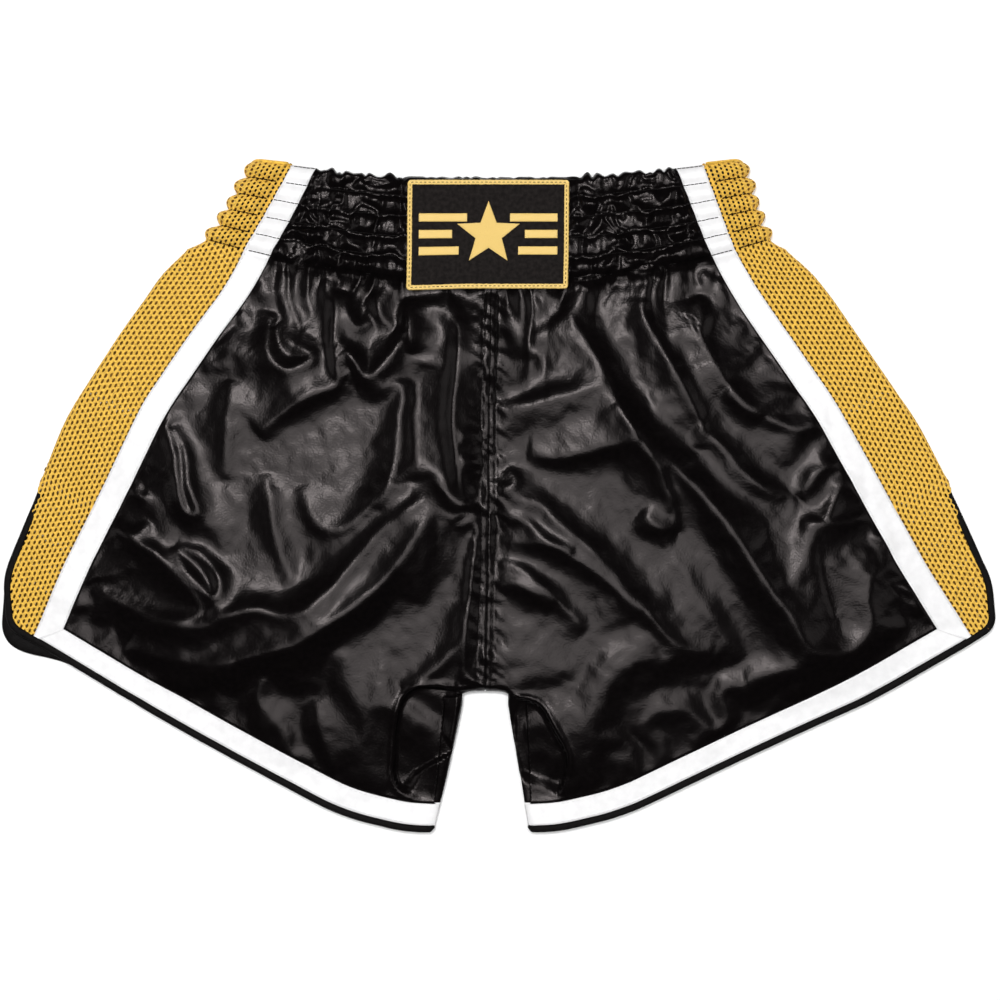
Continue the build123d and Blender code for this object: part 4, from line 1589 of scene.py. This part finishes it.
def emblem():
    """One five-pointed star between two sets of three bars."""
    low, high = (np.array(v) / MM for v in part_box("patch_star"))
    radius = (high[0] - low[0]) / 2 / math.sin(math.radians(72))
    centre = np.array([(low[0] + high[0]) / 2, high[1] - radius]) - PATCH_MIDDLE
    angles = np.arange(10) * math.pi / 5
    reach = np.where(np.arange(10) % 2, 0.42 * radius, radius)
    outline = centre + np.column_stack([-reach * np.sin(angles), reach * np.cos(angles)])
    embroidered("patch_star", outline, M_GOLD_SIDE)
    for word, _ in SIDES:
        for i in (1, 2, 3):
            node = f"patch_{word}_bar_{i}"
            low, high = (np.array(v)[:2] / MM - PATCH_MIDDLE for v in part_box(node))
            outline = [(low[0], low[1]), (high[0], low[1]), (high[0], high[1]), (low[0], high[1])]
            embroidered(node, outline, M_GOLD)


# ---------------------------------------------------------------- stitches
# A stitch's cross sections: place along it, rise and half thickness. It dips in at both ends.
STITCH_PLACE = np.array([-0.5, -0.4, 0.0, 0.4, 0.5])
STITCH_RISE = np.array([-0.2, 0.45, 0.75, 0.45, -0.2]) * 2
STITCH_SIZE = np.array([0.35, 0.95, 1.0, 0.95, 0.35])
STITCH_SIDES = 6


def stitch_points(line, kind):
    """Points of the stitches along one line, by stitch, cross section and side, and their cloth positions."""
    length, gap, thread = kind
    run = lengths(line)
    centres = np.arange(length, run[-1] - length / 2, length + gap)
    at = centres[:, None] + STITCH_PLACE * length
    spine = read_line(at, run, line)
    spine[..., 2] += STITCH_RISE * thread
    step = spine[:, -1] - spine[:, 0]
    side = unit(np.column_stack([-step[:, 1], step[:, 0], np.zeros(len(step))]))
    turn = np.linspace(0, 2 * math.pi, STITCH_SIDES, endpoint=False)
    size = (STITCH_SIZE * thread)[:, None, None]
    ring = np.cos(turn)[:, None] * side[:, None, None, :] * size
    ring = ring + np.sin(turn)[:, None] * np.array([0, 0, 1.0]) * size
    points = (spine[:, :, None, :] + ring).reshape(-1, 3)
    return points, np.column_stack([np.repeat(at.ravel(), STITCH_SIDES), np.tile(turn, at.size)])


def stitches(name, runs, material, slot, kind):
    """Sewn stitches along lines of lain points: each a small rounded thread of its own."""
    points, uvs = (np.vstack(part) for part in zip(*(stitch_points(line, kind) for line in runs)))
    points[:, 2] = np.maximum(points[:, 2], 0.05)
    index = np.arange(len(points)).reshape(-1, len(STITCH_PLACE), STITCH_SIDES)
    a, b = index[:, :-1], index[:, 1:]
    faces = [np.stack([a, np.roll(a, -1, 2), np.roll(b, -1, 2), b], -1).reshape(-1, 4)]
    for section, corners in ((0, (0, 1, 2, 3)), (0, (0, 3, 4, 5)), (4, (3, 2, 1, 0)), (4, (5, 4, 3, 0))):
        faces.append(index[:, section][:, corners])
    finish_piece(add_object(name, points, np.vstack(faces), uvs), slot, material)


def lain_line(x, y, height, lift):
    """A line of lain points a little over a layer, along rest plan points."""
    return np.column_stack([*lain(x, y), height(x, y) + lift])


def row_line(row, sign, layer):
    """One waistband stitch row on the satin and ribbon of one side, out to the side seam."""
    share = row / CHANNELS
    end = 150.0
    for _ in range(20):
        end = float(seam_outer(band_y(end, share)))
    # The row on the top edge is on the ribbon only.
    start = 0.5 if row >= 1 else float(seam_inner(top_y(end))) + 0.5
    x = np.linspace(start, end - 0.3, 260)
    y = band_y(x, share)
    if layer == "back":
        z = back_height(x * sign, y) - 0.52
    else:
        ribbon = smoothstep((x - seam_inner(y) + 0.8) / 1.2)
        z = satin_height(x * sign, y) * (1 - ribbon) + (ribbon_height(x * sign, y) + RIBBON_LIFT) * ribbon
        z = z + 0.05 + 0.3 * ribbon
    return np.column_stack([*lain(x * sign, y + 0.15 * noise(x / 4, row, 95)), z])


def waist_rows():
    """Stitch rows round the waistband: one near its top edge, and one under each channel."""
    rows = range(1, CHANNELS + 1)
    for layer in ("front", "back"):
        runs = [row_line(row, sign, layer) for row in (0.06, *rows) for _, sign in SIDES]
        stitches(f"waist_stitching_{layer}", runs, M_BLACK_THREAD, "black_satin", BAND_STITCH)
    runs = [mesh_row(row, sign) for row in rows for _, sign in SIDES]
    stitches("waist_stitching_sides", runs, M_BROWN_THREAD, "gold_mesh", MESH_STITCH)


def seam_rows():
    """Two rows of top stitching down the centre seam, and one along each edge of every front ribbon."""
    y = np.linspace(LOW_MIDDLE - 1, CROTCH_Y + 4, 400)
    runs = [lain_line(np.full(len(y), side * SEAM_WIDTH / 2), y, satin_height, 0.05) for side in (-1, 1)]
    stitches("centre_seam_stitching", runs, M_BLACK_THREAD, "black_satin", SEAM_STITCH)
    for word, sign in SIDES:
        runs = []
        for edge, inset in ((seam_inner, 1.3), (seam_outer, -1.3)):
            y = np.linspace(190, CORNER_IN[1] + 1, 500)
            y = y[band_share(edge(y) + inset, y) > 0.02]
            runs.append(lain_line((edge(y) + inset) * sign, y, ribbon_height, 0.6))
        for edge, inset in ((hem_inner, -1.3), (hem_outer, 1.2)):
            x = np.linspace(46, CORNER_IN[0] - 1, 500)
            runs.append(lain_line(x * sign, edge(x) + inset, ribbon_height, 0.6))
        stitches(f"{word}_ribbon_stitching", runs, M_WHITE_THREAD, "white_satin", RIBBON_STITCH)


def inner_leg_rows():
    """One row of stitching down each inner leg seam."""
    for word, sign in SIDES:
        y = np.linspace(CROTCH_Y - 4, FOOT_Y + 1, 200)
        run = lain_line((leg_fold(y) + inseam_inset(y) + 1.6) * sign, y, satin_height, 0.1)
        stitches(f"{word}_inner_leg_stitching", [run], M_BLACK_THREAD, "black_satin", SEAM_STITCH)


# ---------------------------------------------------------------- cloth sheets
PANEL_FULLNESS = 1.06


def cut_size(plan, fullness):
    """Flat size and area, in metres, of the cloth cut for a plan grid before its width was gathered."""
    border = np.vstack([plan[0], plan[1:, -1], plan[-1, ::-1], plan[::-1, 0]])
    x, y = border.T
    area = abs(np.sum(x * np.roll(y, -1) - y * np.roll(x, -1))) / 2 * MM * MM
    return {"flat": (np.ptp(x) * fullness * MM, np.ptp(y) * MM), "area": area * fullness}


def mesh_cut_size():
    """Flat size and area, in metres, of one side mesh before it was folded and its waist gathered."""
    length = SEAM_LENGTH[-1] + SEAM_BAND * (MESH_GATHER - 1)
    widths = 2 * reach_at(gathered(np.linspace(0, length, 300)))
    return {"flat": (widths.max() * MM, length * MM), "area": widths.mean() * length * MM * MM}


def declare(name, held, rests_on, with_pieces, flat, area=None):
    """Gathers the pieces sewn to a cloth sheet, and does nothing more with them."""
    pieces = [PIECES[piece] for piece in with_pieces]
    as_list(rests_on)


def declare_sheets():
    """Works out each cloth sheet's cut size, what it rests on and what is sewn to it, and hands them to
    declare.
    """
    front_cut = cut_size(satin_plan(inseam_inset), PANEL_FULLNESS)
    back_cut = cut_size(satin_plan(np.zeros_like), PANEL_FULLNESS)
    for word, _ in SIDES:
        # Stitching that runs round the whole garment goes with the left half's sheets.
        first = word == "left"
        shared = ["centre_seam_stitching", "waist_stitching_front"] if first else []
        sewn = ["front_side_ribbon", "front_hem_ribbon", "ribbon_stitching", "inner_leg_stitching"]
        on_front = [f"{word}_{piece}" for piece in sewn] + shared
        declare(f"{word}_front_panel", "gathered", [f"{word}_back_panel"], on_front, **front_cut)
        sewn = ["back_side_ribbon", "back_hem_ribbon", "inner_leg_facing", "inner_leg_ribbon"]
        on_back = [f"{word}_{piece}" for piece in sewn] + ["waist_stitching_back"] * first
        declare(f"{word}_back_panel", "gathered", [], on_back, **back_cut)
        on_mesh = [f"{word}_leg_binding", f"{word}_mesh_top_edge"] + ["waist_stitching_sides"] * first
        declare(f"{word}_side_mesh", "folded", [], on_mesh, **mesh_cut_size())
    waist = 4 * float(mesh_edge((TOP_MIDDLE + LOW_MIDDLE) / 2)) * MM
    elastics = [f"waist_elastic_{i + 1}" for i in range(CHANNELS)]
    backs = [f"{word}_back_panel" for word, _ in SIDES]
    declare("waistband_facing", "gathered", backs, elastics, (waist, (TOP_MIDDLE - LOW_MIDDLE) * MM))
    fronts = [f"{word}_front_panel" for word, _ in SIDES]
    bars = [f"patch_{word}_bar_{i}" for word, _ in SIDES for i in (1, 2, 3)]
    on_cloth = ["patch_border", "patch_stitching", "patch_star"] + bars
    declare("patch_cloth", "laid", fronts, on_cloth, tuple((PATCH_SIZE - 2) * MM))


# ---------------------------------------------------------------- stage, light and camera
def stage():
    """A white floor and a faint white surrounding."""
    size = 3000
    corners = [(-size, -size, 0), (size, -size, 0), (size, size, 0), (-size, size, 0)]
    floor = add_object("floor", corners, [(0, 1, 2, 3)])
    material = bpy.data.materials.new("floor_white")
    material.use_nodes = True
    inputs = material.node_tree.nodes["Principled BSDF"].inputs
    inputs["Base Color"].default_value = (0.93, 0.93, 0.93, 1)
    inputs["Roughness"].default_value = 0.9
    inputs["Specular IOR Level"].default_value = 0.0
    floor.data.materials.append(material)
    world = bpy.data.worlds.new("studio")
    world.use_nodes = True
    inputs = world.node_tree.nodes["Background"].inputs
    inputs["Color"].default_value = (1, 1, 1, 1)
    inputs["Strength"].default_value = 0.05
    bpy.context.scene.world = world


def soft_box(name, azimuth, elevation, distance, width, height, power):
    """A rectangular soft light aimed at the garment, at an azimuth measured from +X towards +Y."""
    data = bpy.data.lights.new(name, "AREA")
    data.shape = "RECTANGLE"
    data.size, data.size_y = width, height
    data.energy = power
    light = linked(name, data)
    a, e = math.radians(azimuth), math.radians(elevation)
    place = Vector((math.cos(a) * math.cos(e), math.sin(a) * math.cos(e), math.sin(e))) * distance
    light.location = place
    light.rotation_euler = (-place).to_track_quat("-Z", "Y").to_euler()


def lights():
    """A wide light overhead, a small one for the satin's glints, and a weak one at each side."""
    soft_box("overhead", azimuth=90, elevation=88.5, distance=2.4, width=1.25, height=1.1, power=40)
    soft_box("hot", azimuth=110, elevation=77, distance=2.3, width=0.3, height=0.3, power=23)
    for name, azimuth in (("left", 175), ("right", 5)):
        soft_box(name, azimuth, elevation=38, distance=2.4, width=0.9, height=1.2, power=7)


def camera():
    """A long lens straight above, which takes in a width of 0.6 metres at the shorts' upper face."""
    data = bpy.data.cameras.new("camera")
    data.lens = 85
    data.sensor_width = 36
    frame_width, upper_face = 0.6, 0.010
    view = linked("camera", data)
    view.location = (-0.0006, -0.0021, frame_width * data.lens / data.sensor_width + upper_face)
    bpy.context.scene.camera = view
    bpy.context.scene.view_settings.view_transform = "Standard"


settle(FRONT)
panel_pieces()
ribbon_pieces()
for word, sign in SIDES:
    mesh_piece(word, sign)
    mesh_top_edge(word, sign)
binding_pieces()
waist_inside()
patch_cloth()
patch_border()
patch_stitches()
emblem()
waist_rows()
seam_rows()
inner_leg_rows()
declare_sheets()
stage()
lights()
camera()
